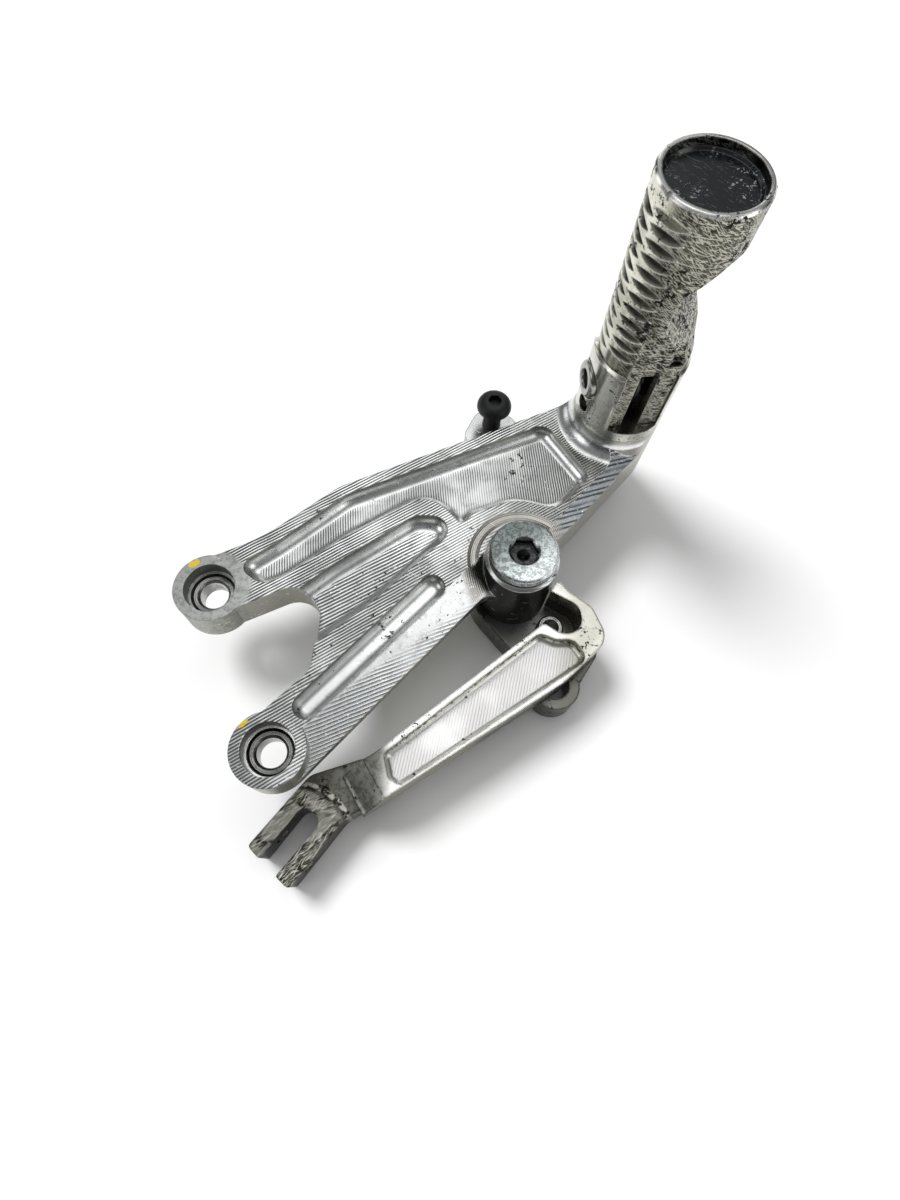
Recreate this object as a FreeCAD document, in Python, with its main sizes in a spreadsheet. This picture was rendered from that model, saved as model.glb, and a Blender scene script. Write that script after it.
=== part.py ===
import FreeCAD, Part
import math
import os
import Sketcher

# Footrest hanger of a motorcycle, in millimetres.
# Origin: axis of the upper frame bolt in the inboard mounting face.
# X runs to the peg, Y up along the plate, Z outboard.

SIZES = {
    # plate
    "plate_thick": 12.0,
    "lower_hole_x": 21.9,
    "lower_hole_y": -47.6,
    "arm_radius": 10.7,
    "sink_radius": 7.6,
    "sink_depth": 5.0,
    "ring_bore": 6.8,
    "right_bevel": 4.2,
    "low_bevel_wide": 8.0,
    "low_bevel_deep": 8.6,
    "low_bevel_past": 5.4,
    "ledge_over": 6.0,
    # pivot boss
    "pivot_x": 94.2,
    "pivot_y": 11.0,
    "pivot_boss_radius": 11.6,
    "pivot_boss_top": 14.2,
    "pivot_boss_low": -12.6,
    "pivot_boss_edge": 0.9,
    "dish_radius": 17.0,
    "dish_deep": 2.0,
    "dish_blend": 3.5,
    "pivot_bore": 8.0,
    # peg boss
    "peg_x": 127.7,
    "peg_y": 65.3,
    "peg_boss_radius": 14.4,
    "peg_boss_top": 18.5,
    "peg_boss_low": -8.0,
    "peg_boss_blend": 6.0,
    "rib_thick": 5.0,
    "spigot_sink": 5.2,
    "screw_sink": 7.4,
    "screw_sink_deep": 7.5,
    # rear post
    "post_x": 86.6,
    "post_y": 66.2,
    "post_top": 6.0,
    "post_low": -6.0,
    "post_bore": 3.0,
    "post_bore_end": -5.0,
    # hollows milled in the face
    "hollow_floor": 7.6,
    "hollow_blend": 4.0,
    "scallop_floor": 7.4,
    "scallop_blend": 4.2,
    "slot_floor": 8.0,
    "slot_radius": 3.95,
    "slot_blend": 3.2,
    "slot_start_x": 9.6,
    "slot_start_y": 12.1,
    "slot_end_x": -27.7,
    "slot_end_y": -9.5,
    # bushes in the frame bolt holes
    "ring_inner": 4.25,
    "ring_high": 6.4,
    "ring_edge": 0.8,
    # bushes, washer and seals of the lever pivot
    "bush_split": 4.0,
    "bush_flange": 9.0,
    "bush_flange_thick": 0.75,
    "bush_low_end": -2.0,
    "washer_outer": 9.0,
    "seal_gap": 0.35,
    "seal_outer": 10.5,
    "seal_round": 0.3,
    "low_seal_outer": 11.4,
    # pivot screw
    "screw_head_radius": 10.6,
    "screw_head_tall": 3.5,
    "screw_head_edge": 0.6,
    "screw_shank": 5.98,
    "screw_thread": 4.9,
    "screw_end": -24.0,
    "screw_end_edge": 0.8,
    "screw_key_flat": 8.0,
    "screw_key_deep": 2.9,
    "screw_key_edge": 0.7,
    # gear lever
    "beam_high": -1.0,
    "beam_low": -13.4,
    "beam_floor": -4.6,
    "beam_blend": 2.2,
    "hub_low": -24.5,
    "hub_radius": 14.0,
    "eye_x": 107.5,
    "eye_y": -22.0,
    "eye_radius": 8.0,
    "eye_bore": 4.5,
    "fork_high": -10.0,
    "fork_low": -23.0,
    "fork_pin_x": 26.8,
    "fork_pin_y": -72.0,
    "fork_pin_z": -16.5,
    "fork_pin_radius": 2.5,
    "fork_spot_x": 35.5,
    "fork_spot_y": -56.0,
    "fork_spot_radius": 1.3,
    "fork_spot_floor": -13.0,
    "ramp_long": 7.5,
    "ramp_blend": 5.0,
    # hollow dowel in the lever
    "tube_x": 106.4,
    "tube_y": -2.8,
    "tube_seat": 4.3,
    "tube_bore": 2.8,
    "tube_high": -10.5,
    "tube_low": -18.0,
    "tube_edge": 0.5,
    # clevis
    "clevis_turn": 8.6,
    "clevis_radius": 14.4,
    "clevis_tall": 27.5,
    "clevis_floor": 4.0,
    "clevis_half_gap": 8.0,
    "clevis_back": 11.9,
    "clevis_edge": 0.8,
    "pin_high": 15.4,
    "spigot_radius": 9.0,
    "spigot_long": 5.0,
    "head_seat": 12.65,
    "head_seat_radius": 6.3,
    "clip_seat": 12.4,
    "side_hole_radius": 2.8,
    "side_hole_high": 6.2,
    "side_hole_y": -2.0,
    "side_hole_floor": 11.0,
    "tap_end": 3.0,
    # clevis screw, washer and dowel
    "fix_head_radius": 6.5,
    "fix_head_tall": 7.8,
    "fix_key_flat": 6.0,
    "fix_key_deep": 4.0,
    "fix_shank": 4.0,
    "fix_reach": 2.4,
    "flat_ring_outer": 7.0,
    "flat_ring_thick": 1.1,
    "dowel_radius": 1.5,
    "dowel_offset": 11.5,
    "dowel_down": 5.5,
    "dowel_up": 3.0,
    # hinge pin and clip
    "pin_radius": 4.0,
    "pin_head_radius": 5.7,
    "pin_head_tall": 2.7,
    "pin_head_round": 1.2,
    "pin_hole_radius": 2.9,
    "pin_hole_round": 0.9,
    "pin_hole_deep": 4.0,
    "pin_tail": 14.2,
    "pin_neck": 3.5,
    "pin_neck_long": 0.9,
    "clip_outer": 5.7,
    "clip_thick": 0.8,
    "clip_mouth": 3.0,
    # return spring
    "spring_radius": 6.2,
    "spring_wire": 0.65,
    "spring_pitch": 1.45,
    "spring_turns": 3.0,
    # foot peg
    "peg_gap": 0.3,
    "peg_long": 53.7,
    "peg_root_radius": 13.4,
    "peg_tip_radius": 13.9,
    "peg_edge": 0.6,
    "peg_mouth_radius": 12.3,
    "peg_mouth_deep": 3.4,
    "prong_gap": 0.2,
    "prong_a_wide": 4.1,
    "prong_b_wide": 5.7,
    "prong_back": 8.6,
    "prong_heel": 0.8,
    "peg_flat": -11.2,
    "peg_flat_top": 14.2,
    "tooth_pitch": 3.9,
    "tooth_count": 12.0,
    "tooth_half": 1.75,
    "tooth_first": 3.7,
    "tooth_bottom": 11.8,
    "tooth_top": 14.0,
    "tooth_axis": 30.0,
    "tooth_turn_front": 214.0,
    "tooth_turn_left": 172.0,
    "tooth_turn_rear": 130.0,
    "tooth_turn_far": 88.0,
    "scoop_turn": -32.0,
    "trough_turn": -62.0,
    "trough_radius": 3.1,
    "trough_round": 3.0,
    "trough_offset": 13.6,
    "trough_top": 13.2,
    # black end of the peg
    "cap_lift": 0.1,
    "cap_thick": 1.4,
    "cap_edge": 0.5,
    "cap_dish": 0.7,
    # black screw in the rear post
    "guard_end": -4.0,
    "guard_head_low": 15.0,
    "guard_head_high": 18.3,
    "guard_head_radius": 5.75,
    "guard_head_flat": 3.0,
    "guard_key_flat": 4.0,
    "guard_key_deep": 2.2,
    # fits between pieces
    "press_fit": 0.02,
    "run_fit": 0.05,
    "way_fit": 0.3,
    "face_gap": 0.05,
    "clip_gap": 0.1,
    "swing_gap": 0.3,
    # helpers beyond the solid
    "far_out": 170.0,
    "over_top": 25.0,
    "rim_over": 3.0,
    "through": 60.0,
    "fork_pin_long": 40.0,
}

# Points that outline corners are measured from
ANCHORS = {
    "frame": ("0", "0"),
    "high_end": ("0", "arm_radius"),
    "high_foot": ("0", "- arm_radius"),
    "low_hole": ("lower_hole_x", "lower_hole_y"),
    "low_foot": ("lower_hole_x", "lower_hole_y - arm_radius"),
    "pivot": ("pivot_x", "pivot_y"),
    "peg": ("peg_x", "peg_y"),
    "middle": ("pivot_x~peg_x", "pivot_y~peg_y"),
    "post": ("post_x", "post_y"),
    "tube": ("tube_x", "tube_y"),
    "eye": ("eye_x", "eye_y"),
    "toe": ("fork_pin_x", "fork_pin_y"),
    "peg_root": ("0", "clevis_tall + peg_gap"),
}

# Outline corners: anchor, x and y from it, rounding
OUTLINES = {
    "plate": [
        ("high_end", -3.0, -1.7, 0), ("frame", 14.0, 17.1, 55.0), ("frame", 36.5, 35.7, 25.0),
        ("peg", -5.7, 9.9, 0), ("peg", 10.8, -9.5, 0), ("pivot", 2.6, -2.3, 0),
        ("pivot", -5.7, -9.9, 0), ("pivot", -9.85, -7.42, 5.0), ("low_foot", 7.6, 3.1, 0),
        ("low_hole", -6.5, 6.5, 0), ("frame", 31.9, -25.0, 7.0), ("frame", 33.6, 5.4, 8.0),
        ("high_foot", 4.0, 2.1, 0),
    ],
    "hollow": [
        ("frame", 7.2, 7.2, 3.4), ("frame", 18.0, 15.2, 20.0), ("frame", 38.8, 33.0, 14.0),
        ("peg", -23.5, -3.1, 4.5), ("middle", 6.95, 3.85, 3.2), ("middle", -3.55, -8.95, 9.0),
        ("pivot", -0.7, 21.6, 14.0), ("pivot", -14.4, 16.4, 4.6), ("pivot", -18.6, 12.0, 1.6),
        ("pivot", -23.6, 17.6, 4.6), ("pivot", -30.6, 22.6, 8.0), ("frame", 40.0, 18.4, 60.0),
        ("frame", 22.0, 4.2, 20.0), ("frame", 15.0, 1.2, 5.2),
    ],
    "scallop": [
        ("frame", 22.0, -3.6, 0), ("frame", 35.6, 8.0, 40.0), ("pivot", -33.2, 15.2, 9.0),
        ("pivot", -22.6, 14.6, 4.8), ("pivot", -23.2, 7.6, 4.6), ("frame", 49.2, -3.4, 60.0),
        ("frame", 29.0, -20.0, 0), ("frame", 22.0, -20.0, 0), ("frame", 14.0, -12.0, 0),
    ],
    "lever": [
        ("toe", 13.8, 20.1, 0), ("toe", 23.5, 25.8, 30.0), ("tube", -3.8, -2.1, 1.5),
        ("tube", 1.0, -5.4, 6.0), ("tube", 8.8, -5.6, 5.0), ("tube", 8.0, 4.0, 5.0),
        ("pivot", 11.2, -4.8, 0), ("pivot", 13.8, -0.4, 1.2), ("tube", 4.5, 9.4, 3.0),
        ("tube", 12.2, 3.6, 5.0), ("eye", 15.5, 11.8, 7.0), ("eye", 0.1, -2.4, 25.0),
        ("toe", 30.6, 15.2, 30.0), ("toe", 20.4, 8.6, 0),
    ],
    "recess": [
        ("toe", 26.2, 25.6, 2.6), ("tube", -5.4, -5.4, 3.0), ("tube", -0.2, -7.6, 5.0),
        ("tube", 5.2, -7.4, 3.6), ("eye", 8.7, 5.4, 3.4), ("toe", 31.2, 16.4, 2.6),
        ("toe", 27.8, 18.6, 2.0),
    ],
    "hub": [
        ("pivot", -10.8, -9.0, 0), ("pivot", 7.0, 12.2, 0), ("pivot", 14.8, -0.2, 2.0),
        ("tube", 12.2, 3.6, 5.0), ("eye", 15.5, 11.8, 7.0), ("eye", 7.9, 0.6, 0),
        ("eye", 0.0, 0.0, 0), ("eye", -8.0, -0.4, 0), ("tube", -11.4, -9.2, 6.0),
    ],
    "fork": [
        ("toe", -12.6, 0.3, 1.2), ("toe", 3.8, 20.4, 6.0), ("toe", 19.2, 25.4, 0),
        ("toe", 28.2, 15.4, 0), ("toe", 14.8, 7.8, 6.0), ("toe", 0.1, -11.3, 1.2),
        ("toe", -3.9, -7.9, 0.8), ("toe", 8.6, 7.4, 3.2), ("toe", 2.6, 12.0, 3.2),
        ("toe", -8.9, -3.3, 0.8),
    ],
    "scoop": [
        ("peg_root", 14.9, 1.8, 0), ("peg_root", 12.2, 4.7, 0), ("peg_root", 10.4, 9.7, 8.0),
        ("peg_root", 6.8, 15.7, 10.0), ("peg_root", 3.9, 19.7, 4.0), ("peg_root", 3.8, 27.7, 6.0),
        ("peg_root", 4.8, 31.7, 6.0), ("peg_root", 8.3, 35.7, 8.0), ("peg_root", 11.5, 40.2, 6.0),
        ("peg_root", 14.9, 41.8, 0), ("peg_root", 30.0, 41.8, 0), ("peg_root", 30.0, 1.8, 0),
    ],
    "post": [
        ("post", -10.0, -5.8, 4.0), ("post", -3.6, 7.8, 6.6), ("post", 9.8, 1.6, 6.6),
        ("post", 7.8, -10.2, 4.0), ("post", -0.6, -16.2, 0),
    ],
}

# Corners between which two straight walls of the plate run
PEG_WALL = (6, 5)
LOW_WALL = (9, 8)

# Share of a side that two roundings may use, and slack for finding edges
SPAN_USE = 0.999
LEVEL_SLACK = 0.01
WALL_LEAST = 0.3

doc = FreeCAD.newDocument("footrest_hanger")
sheet = doc.addObject("Spreadsheet::Sheet", "Sizes")
for outline, corners in OUTLINES.items():
    for index, (anchor, x, y, radius) in enumerate(corners, 1):
        SIZES[f"{outline}_corner{index}_x"] = x
        SIZES[f"{outline}_corner{index}_y"] = y
        if radius:
            SIZES[f"{outline}_corner{index}_round"] = radius


def add_cell(alias, number):
    """One more named size in the sheet."""
    row = len(rows) + 1
    rows.append(alias)
    SIZES[alias] = number
    sheet.set(f"A{row}", alias.replace("_", " "))
    sheet.set(f"B{row}", str(number))
    sheet.setAlias(f"B{row}", alias)


rows = []
for alias, number in list(SIZES.items()):
    add_cell(alias, number)
doc.recompute()


def value(text):
    """Number of a sum of named sizes such as "pin_high + pin_radius"; a~b is their middle."""
    total = 0.0
    sign = 1.0
    for word in text.split():
        if word == "+":
            continue
        if word == "-":
            sign = -sign
            continue
        names = word.split("~")
        total += sign * sum(0.0 if name == "0" else SIZES[name] for name in names) / len(names)
        sign = 1.0
    return total


def formula(text):
    """The same sum as an expression on the sheet."""
    words = []
    for word in text.split():
        if word in ("+", "-", "0"):
            words.append(word)
        elif "~" in word:
            first, second = ["0" if n == "0" else "Sizes." + n for n in word.split("~")]
            words.append(f"({first} + {second}) / 2")
        else:
            words.append("Sizes." + word)
    return " ".join(words)


def joined(*texts):
    """Sum of several texts, leaving out what is zero."""
    total = ""
    for text in texts:
        if text == "0":
            continue
        if total:
            total += " " if text.startswith("- ") else " + "
        total += text
    return total or "0"


def bind(thing, prop, text):
    thing.setExpression(prop, formula(text))


def new_body(label, x="0", y="0", z="0", turn=None):
    """Body with its own placement, turned about Z by a named angle."""
    body = doc.addObject("PartDesign::Body", label)
    body.Label = label
    angle = value(turn) if turn else 0.0
    body.Placement = FreeCAD.Placement(
        FreeCAD.Vector(value(x), value(y), value(z)),
        FreeCAD.Rotation(FreeCAD.Vector(0, 0, 1), angle))
    for axis, text in (("x", x), ("y", y), ("z", z)):
        if text != "0":
            bind(body, "Placement.Base." + axis, text)
    if turn:
        bind(body, "Placement.Rotation.Angle", turn)
    return body


def new_sketch(body, label, plane="XY_Plane", shift=("0", "0", "0"), rotation=None):
    """Sketch on one of the body's own planes, shifted by named sizes."""
    sketch = body.newObject("Sketcher::SketchObject", label)
    sketch.Label = label
    base = [f for f in body.Origin.OriginFeatures if f.Role == plane][0]
    sketch.AttachmentSupport = [(base, "")]
    sketch.MapMode = "FlatFace"
    sketch.AttachmentOffset = FreeCAD.Placement(
        FreeCAD.Vector(*[value(text) for text in shift]), rotation or FreeCAD.Rotation())
    for axis, text in zip("xyz", shift):
        if text != "0":
            bind(sketch, "AttachmentOffset.Base." + axis, text)
    return sketch


def hold(sketch, geometry, position, x, y):
    """Tie a point of a sketch to two named sizes."""
    for kind, text, axis in (("DistanceX", x, -2), ("DistanceY", y, -1)):
        if text == "0":
            sketch.addConstraint(Sketcher.Constraint("PointOnObject", geometry, position, axis))
        else:
            number = sketch.addConstraint(
                Sketcher.Constraint(kind, -1, 1, geometry, position, value(text)))
            bind(sketch, f"Constraints[{number}]", text)


def reach_at(places, corners, index):
    """Length of side that the rounding of one corner takes up."""
    r = corners[index][2]
    if r is None:
        return 0.0
    into = places[index] - places[index - 1]
    out = places[(index + 1) % len(places)] - places[index]
    return value(r) * math.tan(into.getAngle(out) / 2)


def rounded(sketch, corners):
    """Closed outline of straight lines; corners are (x, y, rounding or None) as texts."""
    places = [FreeCAD.Vector(value(x), value(y), 0) for x, y, r in corners]
    count = len(corners)
    spans = [(places[(k + 1) % count] - places[k]).Length for k in range(count)]
    arcs = []
    for index, (x, y, r) in enumerate(corners):
        here = places[index]
        before = places[index - 1]
        after = places[(index + 1) % count]
        into = (here - before).normalize()
        out = (after - here).normalize()
        turn = into.cross(out).z
        if r is None:
            arcs.append((here, here, None, turn, 0.0))
            continue
        half = into.getAngle(out) / 2
        room = 1.0
        for near, span in ((index - 1, spans[index - 1]), ((index + 1) % count, spans[index])):
            other = reach_at(places, corners, near)
            need = value(r) * math.tan(half) + other
            room = min(room, SPAN_USE * span / need)
        radius = value(r) * room
        reach = radius * math.tan(half)
        start = here - into * reach
        end = here + out * reach
        side = FreeCAD.Vector(-into.y, into.x, 0) * (1 if turn > 0 else -1)
        arcs.append((start, end, start + side * radius, turn, room))
    lines = []
    for index in range(count):
        start = arcs[index][1]
        end = arcs[(index + 1) % count][0]
        lines.append(sketch.addGeometry(Part.LineSegment(start, end), False))
    for index, (x, y, r) in enumerate(corners):
        start, end, centre, turn, room = arcs[index]
        line_in = lines[index - 1]
        line_out = lines[index]
        if r is None:
            sketch.addConstraint(Sketcher.Constraint("Coincident", line_in, 2, line_out, 1))
            hold(sketch, line_in, 2, x, y)
            continue
        first, last = (start, end) if turn > 0 else (end, start)
        angle_a = math.atan2(first.y - centre.y, first.x - centre.x)
        angle_b = math.atan2(last.y - centre.y, last.x - centre.x)
        round_off = Part.Circle(centre, FreeCAD.Vector(0, 0, 1), value(r) * room)
        arc = sketch.addGeometry(Part.ArcOfCircle(round_off, angle_a, angle_b), False)
        near, far = (1, 2) if turn > 0 else (2, 1)
        sketch.addConstraint(Sketcher.Constraint("Tangent", line_in, 2, arc, near))
        sketch.addConstraint(Sketcher.Constraint("Tangent", arc, far, line_out, 1))
        number = sketch.addConstraint(Sketcher.Constraint("Radius", arc, value(r) * room))
        share = "" if room == 1.0 else f" * {room:.6f}"
        sketch.setExpression(f"Constraints[{number}]", formula(r) + share)
        point = sketch.addGeometry(Part.Point(places[index]), True)
        sketch.addConstraint(Sketcher.Constraint("PointOnObject", point, 1, line_in))
        sketch.addConstraint(Sketcher.Constraint("PointOnObject", point, 1, line_out))
        hold(sketch, point, 1, x, y)


def corner(name, index):
    """Place of one outline corner: its anchor and its offset."""
    base_x, base_y = ANCHORS[OUTLINES[name][index - 1][0]]
    key = f"{name}_corner{index}_"
    return joined(base_x, key + "x"), joined(base_y, key + "y")


def outline_corners(name, x0="0", y0="0"):
    """Corners of a named outline, measured from a named point if one is given."""
    corners = []
    for index, (anchor, x, y, radius) in enumerate(OUTLINES[name], 1):
        place_x, place_y = corner(name, index)
        corners.append((
            place_x if x0 == "0" else f"{place_x} - {x0}",
            place_y if y0 == "0" else f"{place_y} - {y0}",
            f"{name}_corner{index}_round" if radius else None))
    return corners


def circle(sketch, x, y, r):
    """Circle tied to named sizes."""
    ring = sketch.addGeometry(Part.Circle(
        FreeCAD.Vector(value(x), value(y), 0), FreeCAD.Vector(0, 0, 1), value(r)), False)
    number = sketch.addConstraint(Sketcher.Constraint("Radius", ring, value(r)))
    bind(sketch, f"Constraints[{number}]", r)
    hold(sketch, ring, 3, x, y)


def hexagon(sketch, flat):
    """Regular hexagon about the sketch origin with a named width across flats."""
    side = value(flat) / math.sqrt(3)
    places = [FreeCAD.Vector(side * math.cos(math.radians(60 * k)),
                             side * math.sin(math.radians(60 * k)), 0) for k in range(6)]
    lines = [sketch.addGeometry(Part.LineSegment(places[k], places[(k + 1) % 6]), False)
             for k in range(6)]
    for k in range(6):
        sketch.addConstraint(
            Sketcher.Constraint("Coincident", lines[k], 2, lines[(k + 1) % 6], 1))
    for k in range(1, 6):
        sketch.addConstraint(Sketcher.Constraint("Equal", lines[0], lines[k]))
    ring = sketch.addGeometry(Part.Circle(
        FreeCAD.Vector(0, 0, 0), FreeCAD.Vector(0, 0, 1), side), True)
    sketch.addConstraint(Sketcher.Constraint("Coincident", ring, 3, -1, 1))
    for k in range(6):
        sketch.addConstraint(Sketcher.Constraint("PointOnObject", lines[k], 1, ring))
    sketch.addConstraint(Sketcher.Constraint("PointOnObject", lines[0], 1, -1))
    number = sketch.addConstraint(Sketcher.Constraint("Radius", ring, side))
    sketch.setExpression(f"Constraints[{number}]", f"Sizes.{flat} / sqrt(3)")


def grow(body, kind, label, sketch, length, flip=False, middle=False):
    """Pad or pocket of a named length."""
    feature = body.newObject("PartDesign::" + kind, label)
    feature.Profile = sketch
    feature.Length = value(length)
    bind(feature, "Length", length)
    feature.Reversed = flip
    feature.Midplane = middle
    sketch.Visibility = False
    body.Tip = feature
    doc.recompute()
    return feature


def spin(body, kind, label, sketch, axis="V_Axis", angle=None, flip=False):
    """Revolution or groove of a profile about an axis of its sketch."""
    feature = body.newObject("PartDesign::" + kind, label)
    feature.Profile = sketch
    feature.ReferenceAxis = (sketch, [axis])
    feature.Angle = angle or 360.0
    feature.Reversed = flip
    sketch.Visibility = False
    body.Tip = feature
    doc.recompute()
    return feature


def turned(body, label, points, kind="Revolution"):
    """Turned form about the body's Z axis from a profile of (radius, height) texts."""
    sketch = new_sketch(body, label + "_profile", "XZ_Plane")
    rounded(sketch, [(x, y, None) if len(p) == 2 else (x, y, p[2])
                     for p in points for x, y in [p[:2]]])
    return spin(body, kind, label, sketch)


def soften(body, kind, label, names, size):
    """Fillet or chamfer on chosen edges of the last feature."""
    base = body.Tip
    feature = body.newObject("PartDesign::" + kind, label)
    feature.Base = (base, names)
    prop = "Radius" if kind == "Fillet" else "Size"
    setattr(feature, prop, value(size))
    bind(feature, prop, size)
    body.Tip = feature
    doc.recompute()
    return feature


def wall_feature(kind, label, start, end, profile, past="0"):
    """Profile of (outward, height) carried along one straight wall of the plate."""
    start_x, start_y = corner("plate", start)
    end_x, end_y = corner("plate", end)
    along = FreeCAD.Vector(value(end_x) - value(start_x), value(end_y) - value(start_y), 0)
    along.normalize()
    outward = FreeCAD.Vector(along.y, -along.x, 0)
    up = FreeCAD.Vector(0, 0, 1)
    rotation = FreeCAD.Rotation(outward, up, outward.cross(up), "XYZ")
    sketch = new_sketch(plate, label + "_profile", "XY_Plane", (start_x, start_y, "0"), rotation)
    rounded(sketch, profile)
    feature = grow(plate, kind, label, sketch, "far_out", flip=kind == "Pad")
    feature.setExpression(
        "Length", f"sqrt(pow({formula(start_x)} - ({formula(end_x)}); 2)"
        f" + pow({formula(start_y)} - ({formula(end_y)}); 2)) + {formula(past)}")
    doc.recompute()
    return feature


def capsule(sketch, start, end, radius):
    """Round-ended slot between two named points."""
    a = FreeCAD.Vector(value(start[0]), value(start[1]), 0)
    b = FreeCAD.Vector(value(end[0]), value(end[1]), 0)
    along = (b - a).normalize()
    side = FreeCAD.Vector(-along.y, along.x, 0) * value(radius)
    angle = math.atan2(side.y, side.x)
    up = FreeCAD.Vector(0, 0, 1)
    low = sketch.addGeometry(Part.LineSegment(a - side, b - side), False)
    cap_b = sketch.addGeometry(Part.ArcOfCircle(
        Part.Circle(b, up, value(radius)), angle - math.pi, angle), False)
    high = sketch.addGeometry(Part.LineSegment(b + side, a + side), False)
    cap_a = sketch.addGeometry(Part.ArcOfCircle(
        Part.Circle(a, up, value(radius)), angle, angle + math.pi), False)
    for first, second in ((low, cap_b), (cap_b, high), (high, cap_a), (cap_a, low)):
        sketch.addConstraint(Sketcher.Constraint("Tangent", first, 2, second, 1))
    number = sketch.addConstraint(Sketcher.Constraint("Radius", cap_a, value(radius)))
    bind(sketch, f"Constraints[{number}]", radius)
    hold(sketch, cap_a, 3, *start)
    hold(sketch, cap_b, 3, *end)


def drill(body, label, x, y, z, radius, depth, up=False):
    """Round hole of a named depth from a named level, down or up."""
    sketch = new_sketch(body, label + "_round", "XY_Plane", ("0", "0", z))
    circle(sketch, x, y, radius)
    return grow(body, "Pocket", label, sketch, depth, flip=up)


def bar_cut(body, label, y, z, radius, length, x, toward_minus=False, middle=False):
    """Round cut along the body's X axis that starts at a named distance."""
    sketch = new_sketch(body, label + "_round", "YZ_Plane", ("0", "0", x))
    circle(sketch, y, z, radius)
    return grow(body, "Pocket", label, sketch, length, flip=not toward_minus, middle=middle)


def key_socket(body, label, z, flat, deep, edge, up=False):
    """Hexagon socket, with a turned lead-in if an edge is named."""
    sketch = new_sketch(body, label + "_hexagon", "XY_Plane", ("0", "0", z))
    hexagon(sketch, flat)
    grow(body, "Pocket", label, sketch, deep, flip=up)
    if edge:
        cone = new_sketch(body, label + "_lead", "XZ_Plane", ("0", z, "0"))
        SIZES[label + "_reach"] = SIZES[flat] / math.sqrt(3) + SIZES[edge] / 2
        add_cell(label + "_reach", SIZES[label + "_reach"])
        rounded(cone, [
            ("0", "0", None),
            (label + "_reach", "0", None),
            ("0", "- " + label + "_reach", None),
        ])
        spin(body, "Groove", label + "_lead_in", cone)


def foot_edges(body, floor):
    """Edges where a wall stands up on the floor of a hollow."""
    shape = body.Tip.Shape
    names = []
    for index, edge in enumerate(shape.Edges, 1):
        box = edge.BoundBox
        if max(abs(box.ZMin - value(floor)), abs(box.ZMax - value(floor))) > LEVEL_SLACK:
            continue
        walls = [f for f in shape.ancestorsOfType(edge, Part.Face)
                 if f.BoundBox.ZMin > value(floor) - LEVEL_SLACK
                 and f.BoundBox.ZMax > value(floor) + WALL_LEAST]
        if walls:
            names.append(f"Edge{index}")
    return names


# Hanger plate
plate = new_body("hanger_plate")
face = new_sketch(plate, "plate_outline")
rounded(face, outline_corners("plate"))
grow(plate, "Pad", "plate_block", face, "peg_boss_top")
clear = new_sketch(plate, "face_profile", "XZ_Plane", ("peg_x", "0", "- peg_y"))
rounded(clear, [
    ("peg_boss_radius", "over_top", None),
    ("peg_boss_radius", "plate_thick", "peg_boss_blend"),
    ("far_out", "plate_thick", None),
    ("far_out", "over_top", None),
])
spin(plate, "Groove", "face_cut", clear)
wall_feature("Pocket", "right_bevel_cut", *PEG_WALL, [
    ("- right_bevel - rim_over", "plate_thick + rim_over", None),
    ("rim_over", "plate_thick - right_bevel - rim_over", None),
    ("rim_over", "plate_thick + rim_over", None),
])
wall_feature("Pocket", "low_bevel_cut", *LOW_WALL, [
    ("- low_bevel_wide", "plate_thick", None),
    ("0", "plate_thick - low_bevel_deep", None),
    ("ledge_over", "plate_thick - low_bevel_deep", None),
    ("ledge_over", "plate_thick + rim_over", None),
    ("- low_bevel_wide", "plate_thick + rim_over", None),
], "low_bevel_past")
dish = new_sketch(plate, "boss_dish_profile", "XZ_Plane", ("pivot_x", "0", "- pivot_y"))
rounded(dish, [
    ("pivot_boss_radius", "plate_thick - dish_deep", "dish_blend"),
    ("dish_radius", "plate_thick", None),
    ("dish_radius", "plate_thick + rim_over", None),
    ("pivot_boss_radius", "plate_thick + rim_over", None),
])
spin(plate, "Groove", "boss_dish", dish)

ends = new_sketch(plate, "arm_ends")
circle(ends, "0", "0", "arm_radius")
circle(ends, "lower_hole_x", "lower_hole_y", "arm_radius")
grow(plate, "Pad", "arm_end_pads", ends, "plate_thick")

boss = new_sketch(plate, "pivot_boss_profile", "XZ_Plane", ("pivot_x", "0", "- pivot_y"))
rounded(boss, [
    ("0", "pivot_boss_low", None),
    ("pivot_boss_radius", "pivot_boss_low", None),
    ("pivot_boss_radius", "pivot_boss_top - pivot_boss_edge", None),
    ("pivot_boss_radius - pivot_boss_edge", "pivot_boss_top", None),
    ("0", "pivot_boss_top", None),
])
spin(plate, "Revolution", "pivot_boss", boss)
peg_boss = new_sketch(plate, "peg_boss_outline", "XY_Plane", ("0", "0", "peg_boss_low"))
circle(peg_boss, "peg_x", "peg_y", "peg_boss_radius")
grow(plate, "Pad", "peg_boss", peg_boss, "peg_boss_top - peg_boss_low")

wall_feature("Pad", "inboard_rib", *PEG_WALL, [
    ("0", "peg_boss_low", None),
    ("0", "rim_over", None),
    ("- rib_thick", "rim_over", None),
    ("- rib_thick", "peg_boss_low", None),
])

post = new_sketch(plate, "post_outline", "XY_Plane", ("0", "0", "post_low"))
rounded(post, outline_corners("post"))
grow(plate, "Pad", "rear_post", post, "post_top - post_low")

hollow = new_sketch(plate, "hollow_outline", "XY_Plane", ("0", "0", "plate_thick"))
rounded(hollow, outline_corners("hollow"))
grow(plate, "Pocket", "hollow_cut", hollow, "plate_thick - hollow_floor")
soften(plate, "Fillet", "hollow_floor_blend", foot_edges(plate, "hollow_floor"),
       "hollow_blend")

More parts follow.
